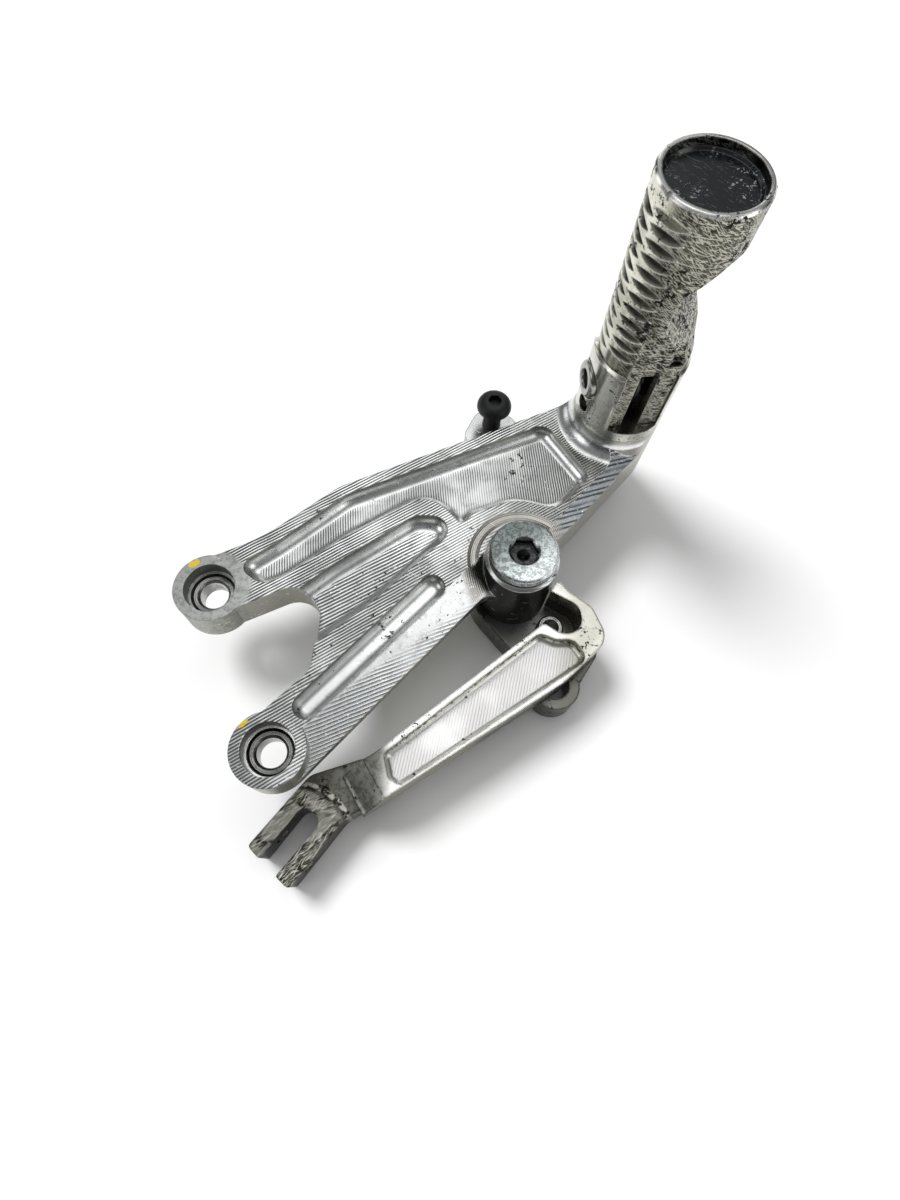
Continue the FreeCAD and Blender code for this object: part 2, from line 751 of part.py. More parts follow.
scallop = new_sketch(plate, "scallop_outline", "XY_Plane", ("0", "0", "plate_thick"))
rounded(scallop, outline_corners("scallop"))
grow(plate, "Pocket", "scallop_cut", scallop, "plate_thick - scallop_floor")
soften(plate, "Fillet", "scallop_floor_blend", foot_edges(plate, "scallop_floor"),
       "scallop_blend")

slot = new_sketch(plate, "slot_outline", "XY_Plane", ("0", "0", "plate_thick"))
capsule(slot, ("lower_hole_x + slot_start_x", "lower_hole_y + slot_start_y"),
        ("pivot_x + slot_end_x", "pivot_y + slot_end_y"), "slot_radius")
grow(plate, "Pocket", "slot_cut", slot, "plate_thick - slot_floor")
soften(plate, "Fillet", "slot_floor_blend", foot_edges(plate, "slot_floor"), "slot_blend")

drill(plate, "sink_upper", "0", "0", "plate_thick", "sink_radius", "sink_depth")
drill(plate, "sink_lower", "lower_hole_x", "lower_hole_y", "plate_thick", "sink_radius",
      "sink_depth")
drill(plate, "bore_upper", "0", "0", "plate_thick", "ring_bore", "plate_thick")
drill(plate, "bore_lower", "lower_hole_x", "lower_hole_y", "plate_thick", "ring_bore",
      "plate_thick")
drill(plate, "pivot_through", "pivot_x", "pivot_y", "pivot_boss_top", "pivot_bore",
      "pivot_boss_top - pivot_boss_low")
drill(plate, "spigot_seat", "peg_x", "peg_y", "peg_boss_top", "spigot_radius + run_fit",
      "spigot_sink")
drill(plate, "screw_through", "peg_x", "peg_y", "peg_boss_top", "fix_shank + way_fit",
      "peg_boss_top - peg_boss_low")
drill(plate, "screw_head_seat", "peg_x", "peg_y", "peg_boss_low", "screw_sink",
      "screw_sink_deep", up=True)
drill(plate, "post_thread", "post_x", "post_y", "post_top", "post_bore",
      "post_top - post_bore_end")
dowel_way = new_sketch(plate, "dowel_way_round", "XY_Plane",
                       ("peg_x", "peg_y", "peg_boss_top"),
                       FreeCAD.Rotation(FreeCAD.Vector(0, 0, 1), value("clevis_turn")))
dowel_way.setExpression("AttachmentOffset.Rotation.Angle", "Sizes.clevis_turn * 1 deg")
circle(dowel_way, "dowel_offset", "0", "dowel_radius - press_fit")
grow(plate, "Pocket", "dowel_way", dowel_way, "dowel_down")

# Bushes pressed into the frame bolt holes
for label, x, y in (("upper_bush", "0", "0"), ("lower_bush", "lower_hole_x", "lower_hole_y")):
    ring = new_body(label, x, y)
    turned(ring, label + "_turned", [
        ("ring_inner", "0"),
        ("ring_bore + press_fit", "0"),
        ("ring_bore + press_fit", "ring_high - ring_edge"),
        ("ring_bore + press_fit - ring_edge", "ring_high"),
        ("ring_inner + ring_edge", "ring_high"),
        ("ring_inner", "ring_high - ring_edge"),
    ])

# Bushes, washer and seals of the lever pivot
outer_bush = new_body("outer_bush", "pivot_x", "pivot_y")
turned(outer_bush, "outer_bush_turned", [
    ("screw_shank + run_fit", "bush_split"),
    ("pivot_bore + press_fit", "bush_split"),
    ("pivot_bore + press_fit", "pivot_boss_top"),
    ("bush_flange", "pivot_boss_top"),
    ("bush_flange", "pivot_boss_top + bush_flange_thick"),
    ("screw_shank + run_fit", "pivot_boss_top + bush_flange_thick"),
])
inner_bush = new_body("inner_bush", "pivot_x", "pivot_y")
turned(inner_bush, "inner_bush_turned", [
    ("screw_shank + run_fit", "pivot_boss_low"),
    ("pivot_bore + press_fit", "pivot_boss_low"),
    ("pivot_bore + press_fit", "bush_low_end"),
    ("screw_shank + run_fit", "bush_low_end"),
])
washer = new_body("thrust_washer", "pivot_x", "pivot_y")
turned(washer, "thrust_washer_turned", [
    ("screw_shank + way_fit", "beam_low + face_gap"),
    ("washer_outer", "beam_low + face_gap"),
    ("washer_outer", "pivot_boss_low - face_gap"),
    ("screw_shank + way_fit", "pivot_boss_low - face_gap"),
])
head_seal = new_body("head_seal", "pivot_x", "pivot_y")
turned(head_seal, "head_seal_turned", [
    ("bush_flange + seal_gap", "pivot_boss_top"),
    ("seal_outer", "pivot_boss_top", "seal_round"),
    ("seal_outer", "pivot_boss_top + bush_flange_thick", "seal_round"),
    ("bush_flange + seal_gap", "pivot_boss_top + bush_flange_thick"),
])
hub_seal = new_body("hub_seal", "pivot_x", "pivot_y")
turned(hub_seal, "hub_seal_turned", [
    ("washer_outer + seal_gap", "beam_low + face_gap"),
    ("low_seal_outer", "beam_low + face_gap", "seal_round"),
    ("low_seal_outer", "pivot_boss_low - face_gap", "seal_round"),
    ("washer_outer + seal_gap", "pivot_boss_low - face_gap"),
])

# Screw of the lever pivot
HEAD_LOW = "pivot_boss_top + bush_flange_thick + face_gap"
HEAD_HIGH = HEAD_LOW + " + screw_head_tall"
screw = new_body("pivot_screw", "pivot_x", "pivot_y")
turned(screw, "pivot_screw_turned", [
    ("0", "screw_end"),
    ("screw_thread - screw_end_edge", "screw_end"),
    ("screw_thread", "screw_end + screw_end_edge"),
    ("screw_thread", "beam_low"),
    ("screw_shank", "beam_low"),
    ("screw_shank", HEAD_LOW),
    ("screw_head_radius - screw_head_edge", HEAD_LOW),
    ("screw_head_radius", HEAD_LOW + " + screw_head_edge"),
    ("screw_head_radius", HEAD_HIGH + " - screw_head_edge"),
    ("screw_head_radius - screw_head_edge", HEAD_HIGH),
    ("0", HEAD_HIGH),
])
key_socket(screw, "pivot_key", HEAD_HIGH, "screw_key_flat", "screw_key_deep",
           "screw_key_edge")

# Gear lever
lever = new_body("gear_lever", "pivot_x", "pivot_y")
beam = new_sketch(lever, "beam_outline", "XY_Plane", ("0", "0", "beam_low"))
rounded(beam, outline_corners("lever", "pivot_x", "pivot_y"))
grow(lever, "Pad", "beam", beam, "beam_high - beam_low")
recess = new_sketch(lever, "recess_outline", "XY_Plane", ("0", "0", "beam_high"))
rounded(recess, outline_corners("recess", "pivot_x", "pivot_y"))
grow(lever, "Pocket", "recess_cut", recess, "beam_high - beam_floor")
soften(lever, "Fillet", "recess_blend", foot_edges(lever, "beam_floor"), "beam_blend")
hub = new_sketch(lever, "hub_outline", "XY_Plane", ("0", "0", "hub_low"))
rounded(hub, outline_corners("hub", "pivot_x", "pivot_y"))
grow(lever, "Pad", "hub_plate", hub, "beam_low - hub_low")
hub_ring = new_sketch(lever, "hub_ring", "XY_Plane", ("0", "0", "hub_low"))
circle(hub_ring, "0", "0", "hub_radius")
grow(lever, "Pad", "hub_disc", hub_ring, "beam_low - hub_low")
eye = new_sketch(lever, "eye_outline", "XY_Plane", ("0", "0", "hub_low"))
circle(eye, "eye_x - pivot_x", "eye_y - pivot_y", "eye_radius")
grow(lever, "Pad", "eye_disc", eye, "beam_low - hub_low")
fork = new_sketch(lever, "fork_outline", "XY_Plane", ("0", "0", "fork_low"))
rounded(fork, outline_corners("fork", "pivot_x", "pivot_y"))
ramp_x = "lever_corner1_x~lever_corner14_x"
ramp_y = "lever_corner1_y~lever_corner14_y"
ramp_end = FreeCAD.Vector(value(ramp_x), value(ramp_y), 0)
beam_side = FreeCAD.Vector(value("lever_corner2_x~lever_corner13_x"),
                           value("lever_corner2_y~lever_corner13_y"), 0)
along_beam = (beam_side - ramp_end).normalize()
ramp = new_sketch(lever, "ramp_profile", "XY_Plane",
                  ("fork_pin_x + " + ramp_x + " - pivot_x",
                   "fork_pin_y + " + ramp_y + " - pivot_y", "0"),
                  FreeCAD.Rotation(along_beam, FreeCAD.Vector(0, 0, 1),
                                   along_beam.cross(FreeCAD.Vector(0, 0, 1)), "XYZ"))
rounded(ramp, [
    ("- rim_over", "fork_high", None),
    ("0", "fork_high", "ramp_blend"),
    ("ramp_long", "beam_high", None),
    ("ramp_long", "over_top", None),
    ("- rim_over", "over_top", None),
])
grow(lever, "Pocket", "ramp_cut", ramp, "through", middle=True)
grow(lever, "Pad", "fork", fork, "fork_high - fork_low")
drill(lever, "hub_thread", "0", "0", "beam_low", "screw_thread + run_fit",
      "beam_low - hub_low")
drill(lever, "eye_hole", "eye_x - pivot_x", "eye_y - pivot_y", "beam_low", "eye_bore",
      "beam_low - hub_low")
drill(lever, "tube_way", "tube_x - pivot_x", "tube_y - pivot_y", "beam_low", "tube_seat",
      "beam_low - tube_low")
drill(lever, "fork_spot", "fork_spot_x - pivot_x", "fork_spot_y - pivot_y", "fork_high",
      "fork_spot_radius", "fork_high - fork_spot_floor")
across = FreeCAD.Vector(value("fork_corner10_x - fork_corner7_x"),
                        value("fork_corner10_y - fork_corner7_y"), 0)
cross = new_sketch(lever, "fork_pin_round", "XY_Plane",
                   ("fork_pin_x - pivot_x", "fork_pin_y - pivot_y", "fork_pin_z"),
                   FreeCAD.Rotation(FreeCAD.Vector(0, 0, 1).cross(across),
                                    FreeCAD.Vector(0, 0, 1), across, "ZYX"))
circle(cross, "0", "0", "fork_pin_radius")
grow(lever, "Pocket", "fork_pin_hole", cross, "fork_pin_long", middle=True)

tube = new_body("hollow_dowel", "tube_x", "tube_y")
turned(tube, "hollow_dowel_turned", [
    ("tube_bore", "tube_low"),
    ("tube_seat + press_fit", "tube_low"),
    ("tube_seat + press_fit", "tube_high - tube_edge"),
    ("tube_seat + press_fit - tube_edge", "tube_high"),
    ("tube_bore", "tube_high"),
])

# Clevis on the peg boss
clevis = new_body("clevis", "peg_x", "peg_y", "peg_boss_top", "clevis_turn")
turned(clevis, "clevis_turned", [
    ("0", "- spigot_long"),
    ("spigot_radius", "- spigot_long"),
    ("spigot_radius", "0"),
    ("clevis_radius", "0"),
    ("clevis_radius", "clevis_tall - clevis_edge"),
    ("clevis_radius - clevis_edge", "clevis_tall"),
    ("0", "clevis_tall"),
])
gap = new_sketch(clevis, "clevis_gap_profile", "XZ_Plane")
rounded(gap, [
    ("- clevis_half_gap", "clevis_floor", None),
    ("clevis_half_gap", "clevis_floor", None),
    ("clevis_half_gap", "through", None),
    ("- clevis_half_gap", "through", None),
])
grow(clevis, "Pocket", "clevis_gap", gap, "through", middle=True)
back = new_sketch(clevis, "clevis_back_profile", "YZ_Plane")
rounded(back, [
    ("clevis_back", "clevis_floor", None),
    ("clevis_back", "pin_high + clevis_back", "clevis_back"),
    ("- rim_over", "pin_high + clevis_back", None),
    ("- rim_over", "through", None),
    ("through", "through", None),
    ("through", "clevis_floor", None),
])
grow(clevis, "Pocket", "clevis_back_cut", back, "through", middle=True)
bar_cut(clevis, "clevis_pin_bore", "0", "pin_high", "pin_radius + run_fit", "through", "0",
        middle=True)
bar_cut(clevis, "head_seat_cut", "0", "pin_high", "head_seat_radius", "through",
        "- head_seat", toward_minus=True)
bar_cut(clevis, "clip_seat_cut", "0", "pin_high", "head_seat_radius", "through",
        "clip_seat")
bar_cut(clevis, "side_hole", "side_hole_y", "side_hole_high", "side_hole_radius", "through",
        "- side_hole_floor", toward_minus=True)
drill(clevis, "clevis_tap", "0", "0", "- spigot_long", "fix_shank + run_fit",
      "spigot_long + tap_end", up=True)
drill(clevis, "clevis_dowel_way", "dowel_offset", "0", "0", "dowel_radius - press_fit",
      "dowel_up", up=True)

# Screw, washer and dowel that hold the clevis
SINK_TOP = "peg_boss_low + screw_sink_deep"
FIX_TOP = SINK_TOP + " - flat_ring_thick"
FIX_LOW = FIX_TOP + " - fix_head_tall"
fix = new_body("clevis_screw", "peg_x", "peg_y")
turned(fix, "clevis_screw_turned", [
    ("0", FIX_LOW),
    ("fix_head_radius", FIX_LOW),
    ("fix_head_radius", FIX_TOP),
    ("fix_shank", FIX_TOP),
    ("fix_shank", "peg_boss_top + fix_reach"),
    ("0", "peg_boss_top + fix_reach"),
])
key_socket(fix, "fix_key", FIX_LOW, "fix_key_flat", "fix_key_deep", None, up=True)
flat_ring = new_body("clevis_washer", "peg_x", "peg_y")
turned(flat_ring, "clevis_washer_turned", [
    ("fix_shank + way_fit", FIX_TOP),
    ("flat_ring_outer", FIX_TOP),
    ("flat_ring_outer", SINK_TOP),
    ("fix_shank + way_fit", SINK_TOP),
])
dowel = new_body("clevis_dowel", "peg_x", "peg_y", "0", "clevis_turn")
dowel_round = new_sketch(dowel, "dowel_round", "XY_Plane",
                         ("0", "0", "peg_boss_top - dowel_down"))
circle(dowel_round, "dowel_offset", "0", "dowel_radius")
grow(dowel, "Pad", "dowel_bar", dowel_round, "dowel_down + dowel_up")

# Hinge pin, clip and spring
NECK_START = "clip_seat + clip_gap"
pin = new_body("hinge_pin", "peg_x", "peg_y", "peg_boss_top", "clevis_turn")
pin_profile = new_sketch(pin, "hinge_pin_profile", "XZ_Plane", ("0", "pin_high", "0"))
rounded(pin_profile, [
    ("- head_seat - pin_head_tall + pin_hole_deep", "0", None),
    ("- head_seat - pin_head_tall + pin_hole_deep", "pin_hole_radius", None),
    ("- head_seat - pin_head_tall", "pin_hole_radius", "pin_hole_round"),
    ("- head_seat - pin_head_tall", "pin_head_radius", "pin_head_round"),
    ("- head_seat", "pin_head_radius", None),
    ("- head_seat", "pin_radius", None),
    (NECK_START, "pin_radius", None),
    (NECK_START, "pin_neck", None),
    (NECK_START + " + pin_neck_long", "pin_neck", None),
    (NECK_START + " + pin_neck_long", "pin_radius", None),
    ("pin_tail", "pin_radius", None),
    ("pin_tail", "0", None),
])
spin(pin, "Revolution", "hinge_pin_turned", pin_profile, "H_Axis")
clip = new_body("pin_clip", "peg_x", "peg_y", "peg_boss_top", "clevis_turn")
clip_face = new_sketch(clip, "clip_outline", "YZ_Plane",
                       ("0", "pin_high", NECK_START))
circle(clip_face, "0", "0", "clip_outer")
circle(clip_face, "0", "0", "pin_neck + run_fit")
grow(clip, "Pad", "clip_disc", clip_face, "clip_thick")
mouth = new_sketch(clip, "clip_mouth_outline", "YZ_Plane", ("0", "pin_high", "0"))
rounded(mouth, [
    ("- clip_mouth", "0", None),
    ("clip_mouth", "0", None),
    ("clip_mouth", "- through", None),
    ("- clip_mouth", "- through", None),
])
grow(clip, "Pocket", "clip_mouth_cut", mouth, "through", middle=True)

PRONG_A = "prong_gap - clevis_half_gap"
PRONG_B = "clevis_half_gap - prong_gap - prong_b_wide"
spring = new_body("return_spring", "peg_x", "peg_y", "peg_boss_top", "clevis_turn")
wire = new_sketch(spring, "wire_round", "XZ_Plane", (
    PRONG_A + " + prong_a_wide + spring_wire + face_gap", "pin_high", "0"))
circle(wire, "0", "spring_radius", "spring_wire")
coil = spring.newObject("PartDesign::AdditiveHelix", "spring_coil")
coil.Profile = wire
coil.ReferenceAxis = (wire, ["H_Axis"])
coil.Mode = "pitch-turns-angle"
coil.Pitch = value("spring_pitch")
coil.Turns = value("spring_turns")
bind(coil, "Pitch", "spring_pitch")
bind(coil, "Turns", "spring_turns")
wire.Visibility = False
spring.Tip = coil
doc.recompute()

# Folding foot peg
PEG_ROOT = "clevis_tall + peg_gap"
PEG_TIP = PEG_ROOT + " + peg_long"
MOUTH_FLOOR = PEG_TIP + " - peg_mouth_deep"
peg = new_body("foot_peg", "peg_x", "peg_y", "peg_boss_top", "clevis_turn")
turned(peg, "peg_turned", [
    ("0", PEG_ROOT),
    ("peg_root_radius", PEG_ROOT),
    ("peg_tip_radius", PEG_TIP + " - peg_edge"),
    ("peg_tip_radius - peg_edge", PEG_TIP),
    ("peg_mouth_radius", PEG_TIP),
    ("peg_mouth_radius", MOUTH_FLOOR),
    ("0", MOUTH_FLOOR),
])
scoop = new_sketch(peg, "scoop_profile", "XZ_Plane", ("0", "0", "0"),
                   FreeCAD.Rotation(FreeCAD.Vector(0, 1, 0), value("scoop_turn")))
scoop.setExpression("AttachmentOffset.Rotation.Angle", "Sizes.scoop_turn * 1 deg")
rounded(scoop, outline_corners("scoop"))
grow(peg, "Pocket", "scoop_cut", scoop, "through", middle=True)
flat = new_sketch(peg, "root_flat_profile", "YZ_Plane")
rounded(flat, [
    ("peg_flat", "0", None),
    ("- through", "0", None),
    ("- through", PEG_ROOT + " + peg_flat_top", None),
    ("peg_flat", PEG_ROOT + " + peg_flat_top", None),
])
grow(peg, "Pocket", "root_flat", flat, "through", middle=True)
trough = new_sketch(peg, "trough_profile", "XZ_Plane", ("0", "0", "0"),
                    FreeCAD.Rotation(FreeCAD.Vector(0, 1, 0), value("trough_turn")))
trough.setExpression("AttachmentOffset.Rotation.Angle", "Sizes.trough_turn * 1 deg")
rounded(trough, [
    ("trough_offset", "0", None),
    ("trough_offset + trough_radius", "0", None),
    ("trough_offset + trough_radius", PEG_ROOT + " + trough_top", "trough_round"),
    ("trough_offset", PEG_ROOT + " + trough_top", None),
])
axis_line = trough.addGeometry(Part.LineSegment(
    FreeCAD.Vector(value("trough_offset"), -value("rim_over"), 0),
    FreeCAD.Vector(value("trough_offset"), value(PEG_ROOT + " + trough_top"), 0)), True)
hold(trough, axis_line, 1, "trough_offset", "- rim_over")
hold(trough, axis_line, 2, "trough_offset", PEG_ROOT + " + trough_top")
spin(peg, "Groove", "trough_cut", trough, "Axis0")
for side, lift in (("front", "0~tooth_pitch"), ("left", "0"), ("rear", "0~tooth_pitch"),
                   ("far", "0")):
    level = joined(PEG_ROOT, "tooth_first", lift)
    tooth = new_sketch(peg, f"tooth_{side}_profile", "XY_Plane", ("0", "0", "0"),
                       FreeCAD.Rotation(FreeCAD.Vector(0, 0, 1), value(f"tooth_turn_{side}"))
                       * FreeCAD.Rotation(FreeCAD.Vector(1, 0, 0), 90))
    rounded(tooth, [
        ("tooth_bottom", level, None),
        ("tooth_top", level + " - tooth_half", None),
        ("tooth_axis", level + " - tooth_half", None),
        ("tooth_axis", level + " + tooth_half", None),
        ("tooth_top", level + " + tooth_half", None),
    ])
    middle_line = tooth.addGeometry(Part.LineSegment(
        FreeCAD.Vector(value("tooth_axis"), 0, 0),
        FreeCAD.Vector(value("tooth_axis"), value(PEG_TIP), 0)), True)
    hold(tooth, middle_line, 1, "tooth_axis", "0")
    hold(tooth, middle_line, 2, "tooth_axis", PEG_TIP)
    cut = spin(peg, "Groove", f"tooth_{side}", tooth, "Axis0")
    row = peg.newObject("PartDesign::LinearPattern", f"teeth_{side}")
    row.Originals = [cut]
    row.Direction = ([f for f in peg.Origin.OriginFeatures if f.Role == "Z_Axis"][0], [""])
    row.Mode = "Spacing"
    row.Offset = value("tooth_pitch")
    row.Occurrences = int(value("tooth_count"))
    bind(row, "Offset", "tooth_pitch")
    bind(row, "Occurrences", "tooth_count")
    peg.Tip = row
    doc.recompute()
for label, start, wide in (("prong_a", PRONG_A, "prong_a_wide"),
                           ("prong_b", PRONG_B, "prong_b_wide")):
    prong = new_sketch(peg, label + "_outline", "YZ_Plane", ("0", "0", start))
    rounded(prong, [
        ("peg_flat", "clevis_floor + swing_gap", "prong_heel"),
        ("prong_back", "clevis_floor + swing_gap", "prong_back"),
        ("prong_back", PEG_ROOT + " + rim_over", None),
        ("peg_flat", PEG_ROOT + " + rim_over", None),
    ])
    grow(peg, "Pad", label, prong, wide)
bar_cut(peg, "peg_pin_bore", "0", "pin_high", "pin_radius + run_fit", "through", "0",
        middle=True)

CAP_LOW = MOUTH_FLOOR + " + cap_lift"
CAP_HIGH = CAP_LOW + " + cap_thick"
cap = new_body("peg_end_cap", "peg_x", "peg_y", "peg_boss_top", "clevis_turn")
turned(cap, "peg_end_cap_turned", [
    ("0", CAP_LOW),
    ("peg_mouth_radius + press_fit", CAP_LOW),
    ("peg_mouth_radius + press_fit", CAP_HIGH),
    ("peg_mouth_radius + press_fit - cap_edge", CAP_HIGH),
    ("peg_mouth_radius + press_fit - cap_edge - cap_dish", CAP_HIGH + " - cap_dish"),
    ("0", CAP_HIGH + " - cap_dish"),
])

# Black screw standing out of the rear post
guard = new_body("guard_screw", "post_x", "post_y")
turned(guard, "guard_screw_turned", [
    ("0", "guard_end"),
    ("post_bore + press_fit", "guard_end"),
    ("post_bore + press_fit", "guard_head_low"),
    ("guard_head_radius", "guard_head_low"),
    ("guard_head_radius", "guard_head_high", "guard_head_flat"),
    ("0", "guard_head_high"),
])
key_socket(guard, "guard_key", "guard_head_high", "guard_key_flat", "guard_key_deep", None)

# Checks and export
doc.recompute()
for thing in doc.Objects:
    if "Invalid" in thing.State or "Error" in thing.State:
        raise RuntimeError(f"{thing.Label} did not build: {thing.State}")
os.makedirs("parts", exist_ok=True)
for body in [b for b in doc.Objects if b.TypeId == "PartDesign::Body"]:
    if body.Shape.isNull() or not body.Shape.isValid() or len(body.Shape.Solids) != 1:
        raise RuntimeError(f"{body.Label} is not one sound solid")
    body.Shape.exportStep(f"parts/{body.Label}.step")
    print(f"{body.Label}: {body.Shape.Volume:.0f} mm3, {len(body.Shape.Faces)} faces")
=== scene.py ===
import math
from types import SimpleNamespace
import bpy
from mathutils import Matrix, Vector


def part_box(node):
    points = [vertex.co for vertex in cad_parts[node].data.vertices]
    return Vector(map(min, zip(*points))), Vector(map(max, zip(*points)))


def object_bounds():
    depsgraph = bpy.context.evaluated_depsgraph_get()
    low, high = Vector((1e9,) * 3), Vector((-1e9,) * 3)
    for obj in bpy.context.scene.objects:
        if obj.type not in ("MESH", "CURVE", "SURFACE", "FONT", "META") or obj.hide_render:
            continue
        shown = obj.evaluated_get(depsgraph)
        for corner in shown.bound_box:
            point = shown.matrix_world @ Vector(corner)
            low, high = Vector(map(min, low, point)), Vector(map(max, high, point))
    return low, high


MM = 0.001

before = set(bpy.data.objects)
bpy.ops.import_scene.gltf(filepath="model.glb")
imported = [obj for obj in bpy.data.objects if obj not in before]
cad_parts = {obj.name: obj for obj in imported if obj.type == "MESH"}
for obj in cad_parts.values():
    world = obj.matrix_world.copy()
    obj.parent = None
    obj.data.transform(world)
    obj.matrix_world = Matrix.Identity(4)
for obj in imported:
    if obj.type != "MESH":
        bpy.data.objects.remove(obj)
size_before = [list(v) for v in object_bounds()]


def axis_of(node):
    """Where the upright axis of a round piece stands, x and y in millimetres."""
    low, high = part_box(node)
    return tuple((low[side] + high[side]) / 2 / MM for side in (0, 1))


# Places on the part and heights, in millimetres
UPPER_BOLT = axis_of("upper_bush")
LOWER_BOLT = axis_of("lower_bush")
PIVOT = axis_of("pivot_screw")
DOWEL = axis_of("hollow_dowel")
PEG = axis_of("peg_end_cap")
FORK_SLOT = (26.8, -72.0)
FACE_Z = 12.0
HOLLOW_Z = 7.6
SCALLOP_Z = 7.4
BEAM_FLOOR_Z = -4.6
FLOOR_GAP = 0.1

# Directions across the part
FACET_NORMAL = (0.51, -0.52, 0.68)
ACROSS_LOW_ARM = (0.63, -0.777, 0.0)
ACROSS_SCREW = (0.71, -0.71, 0.0)

VEC = "NodeSocketVector"
NUM = "NodeSocketFloat"


# Words for building shader nodes
class Net:
    """A node tree and short words for adding nodes to it."""

    def __init__(self, tree):
        self.tree = tree
        self.column = 0

    def give(self, socket, value):
        """Feeds a socket from another node, or sets a plain value on it."""
        if isinstance(value, bpy.types.NodeSocket):
            self.tree.links.new(value, socket)
        elif socket.type == "RGBA":
            socket.default_value = (*value, 1.0)
        else:
            socket.default_value = value

    def put(self, kind, *values, out=0, **props):
        """New node with its inputs in order, where None leaves one as it is."""
        node = self.tree.nodes.new(kind)
        self.column += 1
        node.location = (self.column * 170, 0)
        for key, value in props.items():
            setattr(node, key, value)
        for index, value in enumerate(values):
            if value is not None:
                self.give(node.inputs[index], value)
        return node if out is None else node.outputs[out]

    def math(self, operation, a, b=0.0, c=0.0):
        return self.put("ShaderNodeMath", a, b, c, operation=operation)

    def vector(self, operation, a, b=(0, 0, 0), out=0):
        return self.put("ShaderNodeVectorMath", a, b, out=out, operation=operation)

    def along(self, vector, direction):
        """Share of a vector that points in a direction."""
        return self.vector("DOT_PRODUCT", vector, direction, out=1)

    def range(self, value, low, high, to_low=0.0, to_high=1.0):
        """Smooth step from one value to another while the input goes from low to high."""
        return self.put("ShaderNodeMapRange", value, low, high, to_low, to_high,
                        interpolation_type="SMOOTHSTEP")

    def span(self, value, low, high):
        """Mask that runs from 0 at one length to 1 at another, in millimetres."""
        return self.range(value, low * MM, high * MM)

    def band(self, value, low, high, soft):
        """Mask that is 1 between two values."""
        return self.times(self.range(value, low - soft, low),
                          self.range(value, high + soft, high))

    def noise(self, vector, scale, detail=2.0, rough=0.5):
        return self.put("ShaderNodeTexNoise", vector, None, scale, detail, rough)

    def parts(self, vector):
        """The x, y and z of a vector."""
        return self.put("ShaderNodeSeparateXYZ", vector, out=None).outputs

    def mix(self, factor, a, b):
        """Colour that goes from a to b with the factor."""
        node = self.put("ShaderNodeMix", out=None, data_type="RGBA")
        for index, value in ((0, factor), (6, a), (7, b)):
            self.give(node.inputs[index], value)
        return node.outputs[2]

    def paint(self, colour, *coats):
        """Lays coats over a colour, each a mask, its share and its own colour."""
        for mask, share, tone in coats:
            colour = self.mix(self.times(mask, share), colour, tone)
        return colour

    def times(self, *masks):
        """Product of masks or shares."""
        total = masks[0]
        for mask in masks[1:]:
            total = self.math("MULTIPLY", total, mask)
        return total

    def most(self, *masks):
        """Largest of some masks."""
        total = masks[0]
        for mask in masks[1:]:
            total = self.math("MAXIMUM", total, mask)
        return total

    def weigh(self, *pairs):
        """Sum of values, each times its mask or share."""
        total = 0.0
        for value, share in pairs:
            total = self.math("MULTIPLY_ADD", value, share, total)
        return total

    def use(self, group, *values, out=0):
        """Node of a group, with its inputs in order."""
        return self.put("ShaderNodeGroup", *values, out=out, node_tree=group)

    def reach(self, position, spot):
        """Distance in the XY plane from a spot given in millimetres."""
        return self.use(turned_rings, position, (spot[0] * MM, spot[1] * MM, 0.0), out=1)

    def near(self, position, spot, inner, outer):
        """Mask that is 1 inside a distance of a spot, in millimetres."""
        return self.span(self.reach(position, spot), outer, inner)

    def level(self, height, flat, z):
        """Mask of the flat faces at one height, in millimetres."""
        return self.times(flat, self.band(height, (z - 0.05) * MM, (z + 0.05) * MM, 0.08 * MM))


def group(name, inputs, outputs, build):
    """Node group with named inputs (name, kind, default) and outputs (name, kind)."""
    tree = bpy.data.node_groups.new(name, "ShaderNodeTree")
    for title, kind, default in inputs:
        socket = tree.interface.new_socket(title, in_out="INPUT", socket_type=kind)
        if default is not None:
            socket.default_value = default
    for title, kind in outputs:
        tree.interface.new_socket(title, in_out="OUTPUT", socket_type=kind)
    net = Net(tree)
    start = net.put("NodeGroupInput", out=None)
    results = build(net, *start.outputs[:len(inputs)])
    end = net.put("NodeGroupOutput", out=None)
    for index, result in enumerate(results):
        tree.links.new(result, end.inputs[index])
    return tree


# Effects that several materials share
def build_lines(net, place, angle, pitch):
    """Parallel cutter lines in a turned direction, a little uneven."""
    x, y, _ = net.parts(place)
    turn = net.math("RADIANS", angle)
    across = net.math("SUBTRACT", net.times(y, net.math("COSINE", turn)),
                      net.times(x, net.math("SINE", turn)))
    across = net.math("ADD", across, net.times(net.noise(place, 120.0, 1.0), 0.4 * MM))
    wave = net.math("SINE", net.times(net.math("DIVIDE", across, pitch), math.tau))
    strength = net.range(net.noise(place, 60.0, 2.0), 0.32, 0.62, 0.35, 1.0)
    return [net.times(wave, strength)]


def build_rings(net, place, centre, pitch):
    """Turned rings about a point in the XY plane, and the distance from it."""
    x, y, _ = net.parts(net.vector("SUBTRACT", place, centre))
    distance = net.math("SQRT", net.math("ADD", net.times(x, x), net.times(y, y)))
    wave = net.math("SINE", net.times(net.math("DIVIDE", distance, pitch), math.tau))
    return [wave, distance]


def build_pits(net, place, scale, patch_scale, patch_level, pit_level):
    """Ragged dark pits gathered in patches."""
    hole = net.range(net.noise(place, scale, 3.0, 0.7), pit_level,
                     net.math("ADD", pit_level, 0.03))
    patch = net.range(net.noise(place, patch_scale, 3.0), patch_level,
                      net.math("ADD", patch_level, 0.06))
    return [net.times(hole, patch)]


